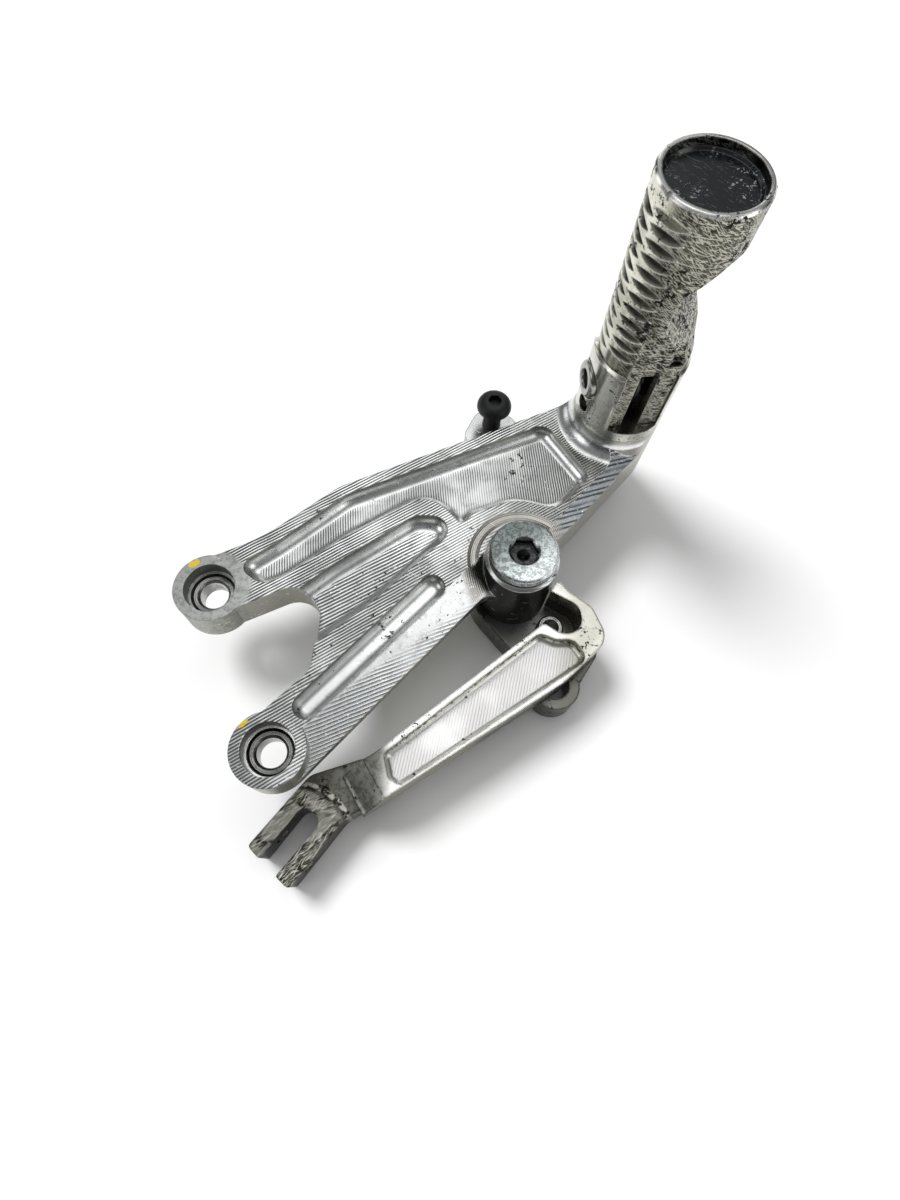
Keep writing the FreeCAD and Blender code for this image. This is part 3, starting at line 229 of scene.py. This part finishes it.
def build_scratches(net, place, scale, scratch_level, angle):
    """Short straight scratches in three directions around one angle."""
    strokes = []
    for turn, stretch in ((0.0, 9.0), (0.35, 12.0), (-0.4, 7.0)):
        turned = net.put("ShaderNodeVectorRotate", place, None, None,
                         net.math("ADD", net.math("RADIANS", angle), turn),
                         rotation_type="Z_AXIS")
        drawn = net.vector("MULTIPLY", turned, (1.0, stretch, 3.0))
        strokes.append(net.range(net.noise(drawn, scale, 1.0), scratch_level,
                                 net.math("ADD", scratch_level, 0.04)))
    return [net.most(*strokes)]


cutter_lines = group("cutter lines",
                     [("Position", VEC, None), ("Angle", NUM, 32.0), ("Pitch", NUM, 0.85 * MM)],
                     [("Height", NUM)], build_lines)
turned_rings = group("turned rings",
                     [("Position", VEC, None), ("Centre", VEC, (0, 0, 0)),
                      ("Pitch", NUM, 0.4 * MM)],
                     [("Height", NUM), ("Distance", NUM)], build_rings)
pitting = group("pits",
                [("Position", VEC, None), ("Scale", NUM, 700.0), ("Patch Scale", NUM, 60.0),
                 ("Patch Level", NUM, 0.6), ("Level", NUM, 0.64)],
                [("Mask", NUM)], build_pits)
scratching = group("scratches",
                   [("Position", VEC, None), ("Scale", NUM, 200.0), ("Level", NUM, 0.68),
                    ("Angle", NUM, 0.0)],
                   [("Mask", NUM)], build_scratches)


def material(slot):
    """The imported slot's material with an empty tree, as a net, shader, place and normal."""
    made = bpy.data.materials[slot]
    made.use_nodes = True
    made.node_tree.nodes.clear()
    net = Net(made.node_tree)
    shader = net.put("ShaderNodeBsdfPrincipled", out=None)
    net.put("ShaderNodeOutputMaterial", shader.outputs[0], out=None)
    place = net.put("ShaderNodeTexCoord", out=None)
    return net, shader, place.outputs["Object"], place.outputs["Normal"]


def rounded_edges(net, radius):
    """Normal rounded at the edges, and a mask that is 1 on sharp edges."""
    soft = net.put("ShaderNodeBevel", radius, samples=4)
    plain = net.put("ShaderNodeNewGeometry", out=None).outputs["Normal"]
    turn = net.math("SUBTRACT", 1.0, net.along(soft, plain))
    return soft, net.range(turn, 0.01, 0.1)


def finish(net, shader, colour, rough, normal, height, depth, metal=1.0, coat=0.0):
    """Connects colour, roughness and the edge-rounded normal, bumped by a depth in mm."""
    for title, value in (("Base Color", colour), ("Roughness", rough), ("Metallic", metal)):
        net.give(shader.inputs[title], value)
    shader.inputs["Coat Weight"].default_value = coat
    bump = net.put("ShaderNodeBump", out=None)
    bump.inputs["Distance"].default_value = depth * MM
    bump.inputs["Strength"].default_value = 1.0
    net.give(bump.inputs["Height"], height)
    net.give(bump.inputs["Normal"], normal)
    net.give(shader.inputs["Normal"], bump.outputs[0])


# Plate: cutter lines on the face and in the hollows, dark arm ends, paint dabs, nicks, and
# painted shade on the walls, bores, bevel facets, dish and boss side
NICKED = (((50.0, 4.0), 2.0, 9.0), ((53.0, -10.0), 1.0, 8.0), ((32.0, 27.0), 0.5, 5.0),
          ((66.0, 23.0), 0.5, 5.0), ((96.0, 47.0), 1.0, 12.0))
PAINTED = (((-5.9, 7.6), 0.8, 1.4), ((-4.6, 8.4), 0.6, 1.2),
           ((14.2, -40.6), 0.7, 1.2), ((15.2, -39.8), 0.4, 0.9))


def plate_regions(net, place, normal):
    """Masks of the plate's faces, walls, bevels and turned places."""
    px, _, pz = net.parts(place)
    nz = net.parts(normal)[2]
    flat = net.range(nz, 0.965, 0.995)
    wall = net.range(nz, 0.45, 0.1)
    around = net.reach(place, PIVOT)
    right_side = net.span(px, 100.0, 108.0)
    low_side = net.span(net.along(place, ACROSS_LOW_ARM), 49.5, 51.5)
    facet = net.times(net.range(net.along(normal, FACET_NORMAL), 0.955, 0.98),
                      net.most(right_side, low_side))
    return SimpleNamespace(
        pz=pz, nz=nz, wall=wall, facet=facet,
        striped=net.times(facet, right_side),
        face=net.level(pz, flat, FACE_Z),
        hollow=net.level(pz, flat, HOLLOW_Z),
        scallop=net.level(pz, flat, SCALLOP_Z),
        sunk=net.times(net.band(pz, 7.2 * MM, 11.6 * MM, 0.2 * MM), net.range(nz, 0.2, 0.5)),
        shaded_bores=net.times(wall, net.most(net.near(place, UPPER_BOLT, 7.9, 8.6),
                                       net.near(place, LOWER_BOLT, 7.9, 8.6))),
        matte=net.near(place, UPPER_BOLT, 11.0, 14.0),
        dish=net.times(net.span(around, 20.5, 17.0), net.span(pz, 12.2, 11.8),
                       net.span(pz, 3.0, 5.0)),
        shaded_boss_wall=net.times(net.span(around, 14.0, 13.0), net.range(nz, 0.5, 0.1)))


def plate_lines(net, place, at):
    """Height of the cutter's lines over the plate's regions."""
    shown = net.math("SUBTRACT", 1.0, at.matte)
    cuts = [(net.use(cutter_lines, place, angle, pitch * MM), net.times(*masks))
            for angle, pitch, masks in (
                (32.0, 0.88, (at.face, shown)), (95.0, 0.8, (at.hollow, 0.6)),
                (30.0, 1.05, (at.scallop, 0.9)), (28.0, 0.85, (at.facet, 0.36)),
                (28.0, 1.2, (at.striped, 0.6)))]
    centre = (PIVOT[0] * MM, PIVOT[1] * MM, 0.0)
    turned = (net.use(turned_rings, place, centre, 0.7 * MM),
              net.times(at.dish, net.range(at.nz, 0.5, 0.8), 0.25))
    return net.weigh(*cuts, turned)


def plate_dabs(net, place, at):
    """Mask of the yellow paint on the arms' ends, with ragged borders."""
    shift = net.times(net.math("SUBTRACT", net.noise(place, 700.0, 2.0), 0.5), 2.2 * MM)
    ragged = net.vector("ADD", place, net.put("ShaderNodeCombineXYZ", shift, shift, 0.0))
    return net.times(net.most(*(net.near(ragged, *dab) for dab in PAINTED)),
                     net.span(at.pz, 9.0, 11.0))


def dress_plate():
    net, shader, place, normal = material("hanger_plate")
    at = plate_regions(net, place, normal)
    soft, edge = rounded_edges(net, net.math("MULTIPLY_ADD", at.sunk, 0.7 * MM, 0.5 * MM))
    lines = plate_lines(net, place, at)
    patches = net.most(*(net.near(place, *patch) for patch in NICKED))
    nicks = net.times(net.use(pitting, place, 430.0, 42.0,
                              net.math("MULTIPLY_ADD", patches, -0.2, 0.56),
                              net.math("MULTIPLY_ADD", patches, -0.065, 0.65)),
                      net.range(at.nz, 0.3, 0.6))
    rims = net.times(edge, net.range(net.noise(place, 300.0, 3.0, 0.7), 0.4, 0.55))
    specks = net.use(pitting, place, 800.0, 55.0, 0.50, 0.66)
    scratch = net.use(scratching, place, 150.0, 0.72, 20.0)
    dust = net.range(net.noise(place, 700.0, 3.0, 0.7), 0.45, 0.65)
    cloud = net.noise(place, 35.0, 4.0, 0.6)
    grain = net.noise(place, 240.0, 4.0, 0.7)
    dabs = plate_dabs(net, place, at)
    colour = net.paint(
        (0.92, 0.94, 0.93),
        (net.range(cloud, 0.3, 0.7), 1.0, (0.68, 0.70, 0.695)),
        (net.range(grain, 0.5, 0.72), 0.5, (0.38, 0.39, 0.38)),
        # painted shade: the bevel facets of one facing are darker, the striped right bevel most
        (at.facet, 0.2, (0.30, 0.33, 0.35)),
        (at.striped, 0.7, (0.22, 0.25, 0.27)),
        # painted shade and a beige painted reflection on the steep walls
        (at.wall, 0.8, (0.34, 0.33, 0.27)),
        # painted shade inside the two bolt bores
        (at.shaded_bores, 0.9, (0.05, 0.05, 0.045)),
        (at.matte, 0.5, (0.36, 0.38, 0.34)),
        (net.times(net.most(at.matte, net.times(at.wall, 0.3)), dust), 0.45, (0.12, 0.13, 0.11)),
        (net.range(lines, -0.05, 0.4), 0.88, (0.06, 0.065, 0.065)),
        # painted shade in the dish around the pivot boss
        (at.dish, 0.7, (0.36, 0.34, 0.30)),
        # painted shade: the pivot boss's side nearly black
        (at.shaded_boss_wall, 0.95, (0.02, 0.025, 0.022)),
        (rims, 0.8, (0.9, 0.9, 0.88)),
        (nicks, 0.95, (0.02, 0.02, 0.018)),
        (net.most(net.times(scratch, 0.4), specks), 1.0, (0.97, 0.97, 0.96)),
        (dabs, 1.0, (0.62, 0.43, 0.01)))
    metal = net.math("SUBTRACT", 1.0, net.most(dabs, net.times(nicks, 0.6)))
    rough = net.weigh((net.range(cloud, 0.25, 0.75, 0.18, 0.28), 1.0), (at.wall, 0.08),
                      (nicks, 0.3), (at.matte, 0.12), (grain, 0.06), (at.hollow, 0.1))
    height = net.weigh((lines, 1.0), (nicks, -4.0), (scratch, -0.6), (grain, 0.35))
    finish(net, shader, colour, rough, soft, height, 0.045, metal)


# Lever: bright milled floor and rims, black nicks along the edges, dark gouged fork, painted
# shade on the walls, the fork's flat top, the hub end and the deep hollow, and painted
# highlights on the fork's bend and ridge
def lever_regions(net, place, normal):
    """Masks of the lever's floor, walls, fork, prongs and hollow, and of the fork's ridge and
    hub end; the ridge gets a painted highlight, the hub end and hollow painted shade.
    """
    px, _, pz = net.parts(place)
    nz = net.parts(normal)[2]
    from_slot = net.reach(place, FORK_SLOT)
    fork = net.span(px, 57.0, 49.0)
    return SimpleNamespace(
        px=px, pz=pz, nz=nz, from_slot=from_slot, fork=fork,
        floor=net.level(pz, net.range(nz, 0.965, 0.995), BEAM_FLOOR_Z),
        wall=net.range(nz, 0.45, 0.1),
        prongs=net.span(from_slot, 17.0, 15.5),
        ridge=net.times(net.band(from_slot, 17.6 * MM, 18.4 * MM, 0.6 * MM), fork),
        shaded_hub_end=net.span(px, 104.0, 114.0),
        deep_shade=net.times(net.span(pz, -5.5, -7.5), net.span(px, 78.0, 84.0)))


def lever_nicks(net, place, edge, at):
    """Mask of the black nicks along the edges, the rims and the fork's ridge."""
    crust = net.times(net.band(at.from_slot, 16.6 * MM, 18.6 * MM, 0.8 * MM), at.fork,
                      net.range(net.noise(place, 520.0, 4.0, 0.75), 0.50, 0.54))
    brink = net.times(net.band(at.nz, 0.2, 0.95, 0.04), net.span(at.pz, -4.0, -3.0),
                      net.span(at.from_slot, 36.0, 39.0),
                      net.range(net.noise(place, 480.0, 3.0, 0.75), 0.49, 0.53))
    chipped = net.times(edge, net.range(net.noise(place, 420.0, 3.0, 0.75), 0.42, 0.48))
    spots = net.use(pitting, place, 620.0, 90.0, 0.52, 0.60)
    return net.times(net.most(brink, crust, spots, chipped),
                     net.math("SUBTRACT", 1.0, at.floor))


def lever_gouges(net, place, at):
    """Mask of the bright strokes across the prongs."""
    strokes = net.times(net.range(net.use(cutter_lines, place, -36.0, 0.55 * MM), 0.1, 0.6),
                        net.range(net.noise(place, 260.0, 2.0), 0.42, 0.56))
    return net.times(net.most(strokes, net.use(scratching, place, 330.0, 0.60, -39.0)),
                     at.prongs, net.range(at.nz, 0.4, 0.8))


def dress_lever():
    net, shader, place, normal = material("gear_lever")
    at = lever_regions(net, place, normal)
    soft, edge = rounded_edges(net, 0.9 * MM)
    lines = net.times(net.use(cutter_lines, place, 78.0, 0.9 * MM), at.floor)
    nicks = lever_nicks(net, place, edge, at)
    gouges = lever_gouges(net, place, at)
    rust = net.range(net.noise(place, 500.0, 4.0, 0.75), 0.46, 0.6)
    cloud = net.noise(place, 60.0, 5.0, 0.65)
    colour = net.paint(
        (1.0, 1.0, 0.98),
        (net.range(cloud, 0.3, 0.7), 1.0, (0.84, 0.84, 0.80)),
        (at.floor, 1.0, (1.0, 1.0, 0.99)),
        # painted shade on the steep walls, tinted olive
        (at.wall, 0.85, (0.36, 0.35, 0.25)),
        (at.fork, 0.85, (0.17, 0.17, 0.145)),
        # painted shade on the fork's flat top and a painted highlight on its sloped bend
        (net.times(at.fork, net.range(at.nz, 0.945, 0.965)), 0.55, (0.07, 0.07, 0.055)),
        (net.times(at.fork, net.band(at.nz, 0.75, 0.955, 0.01)), 0.4, (0.8, 0.8, 0.74)),
        (net.range(lines, 0.1, 0.7), 0.4, (0.3, 0.3, 0.28)),
        (at.prongs, 0.9, (0.03, 0.03, 0.022)),
        (net.times(at.fork, rust), 0.5, (0.05, 0.05, 0.04)),
        # painted highlight along the fork's ridge
        (at.ridge, 0.7, (0.75, 0.74, 0.66)),
        # painted shade towards the hub end
        (at.shaded_hub_end, 0.7, (0.45, 0.44, 0.36)),
        # painted shade in the deep hollow by the hub
        (at.deep_shade, 0.9, (0.07, 0.07, 0.06)),
        (nicks, 0.92, (0.03, 0.028, 0.022)),
        (gouges, 0.85, (0.95, 0.94, 0.84)))
    rough = net.weigh((net.range(cloud, 0.25, 0.75, 0.2, 0.34), 1.0), (at.fork, 0.16),
                      (nicks, 0.2), (at.floor, 0.22))
    height = net.weigh((lines, 0.8), (nicks, -4.0), (gouges, 1.5),
                       (rust, net.times(at.fork, 0.6)))
    metal = net.math("MULTIPLY_ADD", at.floor, -0.45, 1.0)
    finish(net, shader, colour, rough, soft, height, 0.05, metal)


# Foot peg: polished teeth, dark pits, coarse scrapes on the underside, and painted shade on the
# underside, in the grooves and inside the bore
def dress_peg():
    net, shader, place, normal = material("foot_peg")
    nx, ny, nz = net.parts(normal)
    px, py, pz = net.parts(place)
    soft, edge = rounded_edges(net, 0.6 * MM)
    around = net.reach(place, PEG)
    groove_shade = net.times(net.span(around, 13.7, 12.6),
                       net.band(pz, 49.0 * MM, 93.0 * MM, 1.5 * MM), net.range(nx, 0.75, 0.35))
    mouth = net.times(net.span(around, 12.7, 12.4), net.span(pz, 95.0, 96.0))
    inside = net.most(net.span(around, 10.5, 8.0), mouth)
    # the flank facing -y and +x, which gets painted shade and the scrapes
    under = net.most(net.range(ny, -0.55, -0.85), net.range(nx, 0.55, 0.8))
    pits = net.use(pitting, place, 420.0, 70.0, 0.47, 0.57)
    fine = net.use(pitting, place, 1100.0, 150.0, 0.50, 0.60)
    upright = net.put("ShaderNodeCombineXYZ", px, pz, py)
    scrape = net.times(net.use(scratching, upright, 330.0, 0.57, 26.0), under)
    rim = net.times(net.span(pz, 98.8, 99.5), net.range(nz, 0.4, 0.7))
    cloud = net.noise(place, 80.0, 5.0, 0.7)
    colour = net.paint(
        (0.76, 0.75, 0.65),
        (net.range(cloud, 0.35, 0.7), 1.0, (0.34, 0.33, 0.26)),
        # painted shade: the flank facing -y and +x nearly black
        (under, 0.95, (0.06, 0.06, 0.045)),
        # painted shade in the grooves between the teeth
        (groove_shade, 0.92, (0.03, 0.03, 0.024)),
        # painted shade inside the peg's bore and mouth
        (inside, 0.95, (0.02, 0.02, 0.018)),
        (scrape, 0.68, (0.70, 0.68, 0.58)),
        (net.most(net.times(edge, 0.5), rim), 1.0, (0.95, 0.95, 0.92)),
        (net.most(pits, fine), 0.95, (0.02, 0.02, 0.017)))
    rough = net.weigh((net.range(cloud, 0.25, 0.75, 0.12, 0.26), 1.0), (pits, 0.4),
                      (under, 0.15))
    height = net.weigh((pits, -3.0), (fine, -1.0), (scrape, -1.2), (cloud, 0.8))
    finish(net, shader, colour, rough, soft, height, 0.06)


# Clevis: smooth turned metal with dark pits, and painted shade on its inner wall
def dress_clevis():
    net, shader, place, normal = material("clevis")
    soft = rounded_edges(net, 0.4 * MM)[0]
    inside = net.times(net.near(place, PEG, 11.5, 13.2),
                       net.range(net.parts(normal)[2], 0.9, 0.5))
    pits = net.use(pitting, place, 900.0, 110.0, 0.48, 0.58)
    cloud = net.noise(place, 70.0, 4.0, 0.6)
    colour = net.paint(
        (0.70, 0.70, 0.64),
        (net.range(cloud, 0.3, 0.7), 1.0, (0.48, 0.48, 0.42)),
        # painted shade on the inner wall around the peg
        (inside, 0.85, (0.07, 0.07, 0.06)),
        (pits, 0.9, (0.05, 0.05, 0.04)))
    finish(net, shader, colour, net.range(cloud, 0.25, 0.75, 0.14, 0.26), soft,
           net.times(pits, -3.0), 0.04)


# Pivot screw: mottled dark zinc, with painted shade on one side and a painted highlight on the
# other, a worn rim and painted shade in the socket
def dress_pivot_screw():
    net, shader, place, _ = material("pivot_screw")
    soft, edge = rounded_edges(net, 0.6 * MM)
    spots = net.range(net.noise(place, 700.0, 4.0, 0.8), 0.46, 0.60)
    stain = net.range(net.noise(place, 110.0, 3.0, 0.6), 0.42, 0.62)
    lean = net.along(place, ACROSS_SCREW)
    socket = net.times(net.near(place, PIVOT, 4.7, 4.9),
                       net.span(net.parts(place)[2], 17.6, 17.0))
    colour = net.paint(
        (0.48, 0.53, 0.53),
        (spots, 1.0, (0.34, 0.38, 0.37)),
        (stain, 0.5, (0.20, 0.22, 0.20)),
        # painted shade on one side of the head and a painted highlight on the other
        (net.span(lean, 62.0, 52.0), 0.8, (0.10, 0.12, 0.115)),
        (net.span(lean, 59.0, 67.0), 0.6, (0.85, 0.9, 0.9)),
        (edge, 0.6, (0.9, 0.92, 0.92)),
        # painted shade in the hex socket
        (socket, 0.92, (0.03, 0.03, 0.03)))
    finish(net, shader, colour, net.range(spots, 0.0, 1.0, 0.2, 0.42), soft, spots, 0.02)


# Turned steel rings, with how bright each is
RINGS = {"upper_bush": (UPPER_BOLT, 0.42), "lower_bush": (LOWER_BOLT, 0.30),
         "hollow_dowel": (DOWEL, 0.55)}


def dress_ring(slot):
    spot, tone = RINGS[slot]
    net, shader, place, _ = material(slot)
    soft, edge = rounded_edges(net, 0.35 * MM)
    rings = net.use(turned_rings, place, (spot[0] * MM, spot[1] * MM, 0.0), 0.45 * MM)
    grime = net.range(net.noise(place, 260.0, 4.0, 0.7), 0.5, 0.66)
    colour = net.paint(
        (tone, tone, tone * 0.97),
        (grime, 0.6, (0.06, 0.055, 0.045)),
        (edge, 0.7, (0.85, 0.85, 0.84)))
    finish(net, shader, colour, 0.24, soft, rings, 0.02)


# Small pieces, each with its colour, roughness and share of metal
SMALL = {
    "outer_bush": ((0.60, 0.47, 0.26), 0.35, 1.0),
    "inner_bush": ((0.60, 0.47, 0.26), 0.35, 1.0),
    "thrust_washer": ((0.80, 0.78, 0.70), 0.5, 0.0),
    "head_seal": ((0.012, 0.012, 0.012), 0.45, 0.0),
    "hub_seal": ((0.012, 0.012, 0.012), 0.45, 0.0),
    "clevis_screw": ((0.4, 0.4, 0.38), 0.35, 1.0),
    "clevis_washer": ((0.45, 0.45, 0.44), 0.35, 1.0),
    "clevis_dowel": ((0.45, 0.45, 0.44), 0.3, 1.0),
    "pin_clip": ((0.02, 0.02, 0.02), 0.4, 0.4),
    "return_spring": ((0.12, 0.12, 0.11), 0.4, 1.0),
    "guard_screw": ((0.001, 0.002, 0.002), 0.5, 0.0),
    "hinge_pin": ((0.42, 0.42, 0.39), 0.26, 1.0),
}


def dress_small(slot):
    tone, rough, metal = SMALL[slot]
    net, shader, place, _ = material(slot)
    soft = rounded_edges(net, 0.3 * MM)[0]
    speck = net.range(net.noise(place, 500.0, 3.0, 0.7), 0.45, 0.7)
    colour = net.paint(tone, (speck, 0.5, tuple(0.01 + part * 0.35 for part in tone)))
    finish(net, shader, colour, rough, soft, speck, 0.01, metal)


# Black insert of the peg: glossy black with a few pale flecks
def dress_cap():
    net, shader, place, _ = material("peg_end_cap")
    soft, edge = rounded_edges(net, 0.3 * MM)
    lines = net.use(scratching, place, 330.0, 0.70, 35.0)
    chips = net.use(pitting, place, 900.0, 130.0, 0.50, 0.60)
    worn = net.most(net.times(lines, 0.12), net.times(chips, 0.5), net.times(edge, 0.08))
    colour = net.paint((0.003, 0.005, 0.006), (worn, 1.0, (0.40, 0.43, 0.42)))
    rough = net.math("ADD", 0.2, net.times(worn, 0.4))
    finish(net, shader, colour, rough, soft, worn, 0.03, 0.0, 0.2)


dress_plate()
dress_lever()
dress_peg()
dress_clevis()
dress_pivot_screw()
for ring in RINGS:
    dress_ring(ring)
for small in SMALL:
    dress_small(small)
dress_cap()

# Floor: plain and pale, just under the lowest point of the part
floor_material = bpy.data.materials.new("floor")
floor_material.use_nodes = True
base = floor_material.node_tree.nodes["Principled BSDF"]
base.inputs["Base Color"].default_value = (0.85, 0.85, 0.85, 1.0)
base.inputs["Roughness"].default_value = 0.9
base.inputs["Specular IOR Level"].default_value = 0.0
base.inputs["Emission Color"].default_value = (1.0, 1.0, 1.0, 1.0)
base.inputs["Emission Strength"].default_value = 0.02
floor_height = size_before[0][2] - FLOOR_GAP * MM
bpy.ops.mesh.primitive_plane_add(size=8.0, location=(0.06, 0.0, floor_height))
floor = bpy.context.object
floor.name = "floor"
floor.data.materials.append(floor_material)

# Soft light: a dim world with a few bright panels, as a photo tent with dark gaps
PANELS = (  # direction, degrees from it where the panel is full and where it ends, strength
    ((0.05, 0.21, 0.97), 7, 29, 1.35),
    ((0.15, 0.52, 0.84), 2, 30, 0.33),
    ((0.85, -0.35, 0.38), 8, 24, 1.8),
    ((-0.80, -0.25, 0.5), 7, 20, 1.8),
    ((0.1, 0.95, 0.30), 8, 20, 1.4),
    ((-0.75, 0.6, 0.35), 5, 15, 1.2))
world = bpy.data.worlds.new("studio")
bpy.context.scene.world = world
world.use_nodes = True
world.node_tree.nodes.clear()
net = Net(world.node_tree)
way = net.vector("NORMALIZE", net.put("ShaderNodeTexCoord", out=None).outputs["Generated"])
glow = net.range(net.parts(way)[2], 0.1, 0.9, 0.03, 0.2)
for direction, full, end, strength in PANELS:
    facing = net.along(way, tuple(Vector(direction).normalized()))
    panel = net.range(facing, math.cos(math.radians(end)), math.cos(math.radians(full)))
    glow = net.math("MULTIPLY_ADD", panel, strength, glow)
background = net.put("ShaderNodeBackground", (1.0, 1.0, 1.0), glow)
net.put("ShaderNodeOutputWorld", background, out=None)

# Key light, left out of mirrored images so that the flat faces don't burn out
KEY_DIRECTION = (0.42, -0.36, -0.85)
key = bpy.data.lights.new("key", "SUN")
key.energy = 2.7
key.angle = math.radians(22.0)
key_object = bpy.data.objects.new("key", key)
bpy.context.collection.objects.link(key_object)
key_object.visible_glossy = False
key_object.rotation_mode = "QUATERNION"
key_object.rotation_quaternion = Vector(KEY_DIRECTION).to_track_quat("-Z", "Y")

# Camera solved from the photo
PHOTO_WIDTH = 900  # pixels
PHOTO_HEIGHT = 1200
FOCAL = 689.5  # focal length in the photo's pixels
BELOW = (417.6, 879.7)  # the photo's pixel that lies straight below the camera
EYE = (63.57, -80.72, 204.0)  # millimetres
SENSOR = 36.0
camera_data = bpy.data.cameras.new("camera")
camera_data.lens = FOCAL / PHOTO_HEIGHT * SENSOR
camera_data.sensor_width = SENSOR
camera_data.clip_start = 0.01
camera_data.clip_end = 20.0
camera = bpy.data.objects.new("camera", camera_data)
bpy.context.collection.objects.link(camera)
bpy.context.scene.camera = camera
down = Vector((BELOW[0] - PHOTO_WIDTH / 2, BELOW[1] - PHOTO_HEIGHT / 2, FOCAL)).normalized()
side = Vector((1.0, 0.0, 0.0)) - down * down.x
side.normalize()
ahead = down.cross(side)
camera.matrix_world = Matrix.Translation(Vector(EYE) * MM) @ Matrix((
    (side.x, -side.y, -side.z),
    (-ahead.x, ahead.y, ahead.z),
    (-down.x, down.y, down.z))).to_4x4()

scene = bpy.context.scene
scene.view_settings.view_transform = "Standard"
scene.view_settings.look = "None"
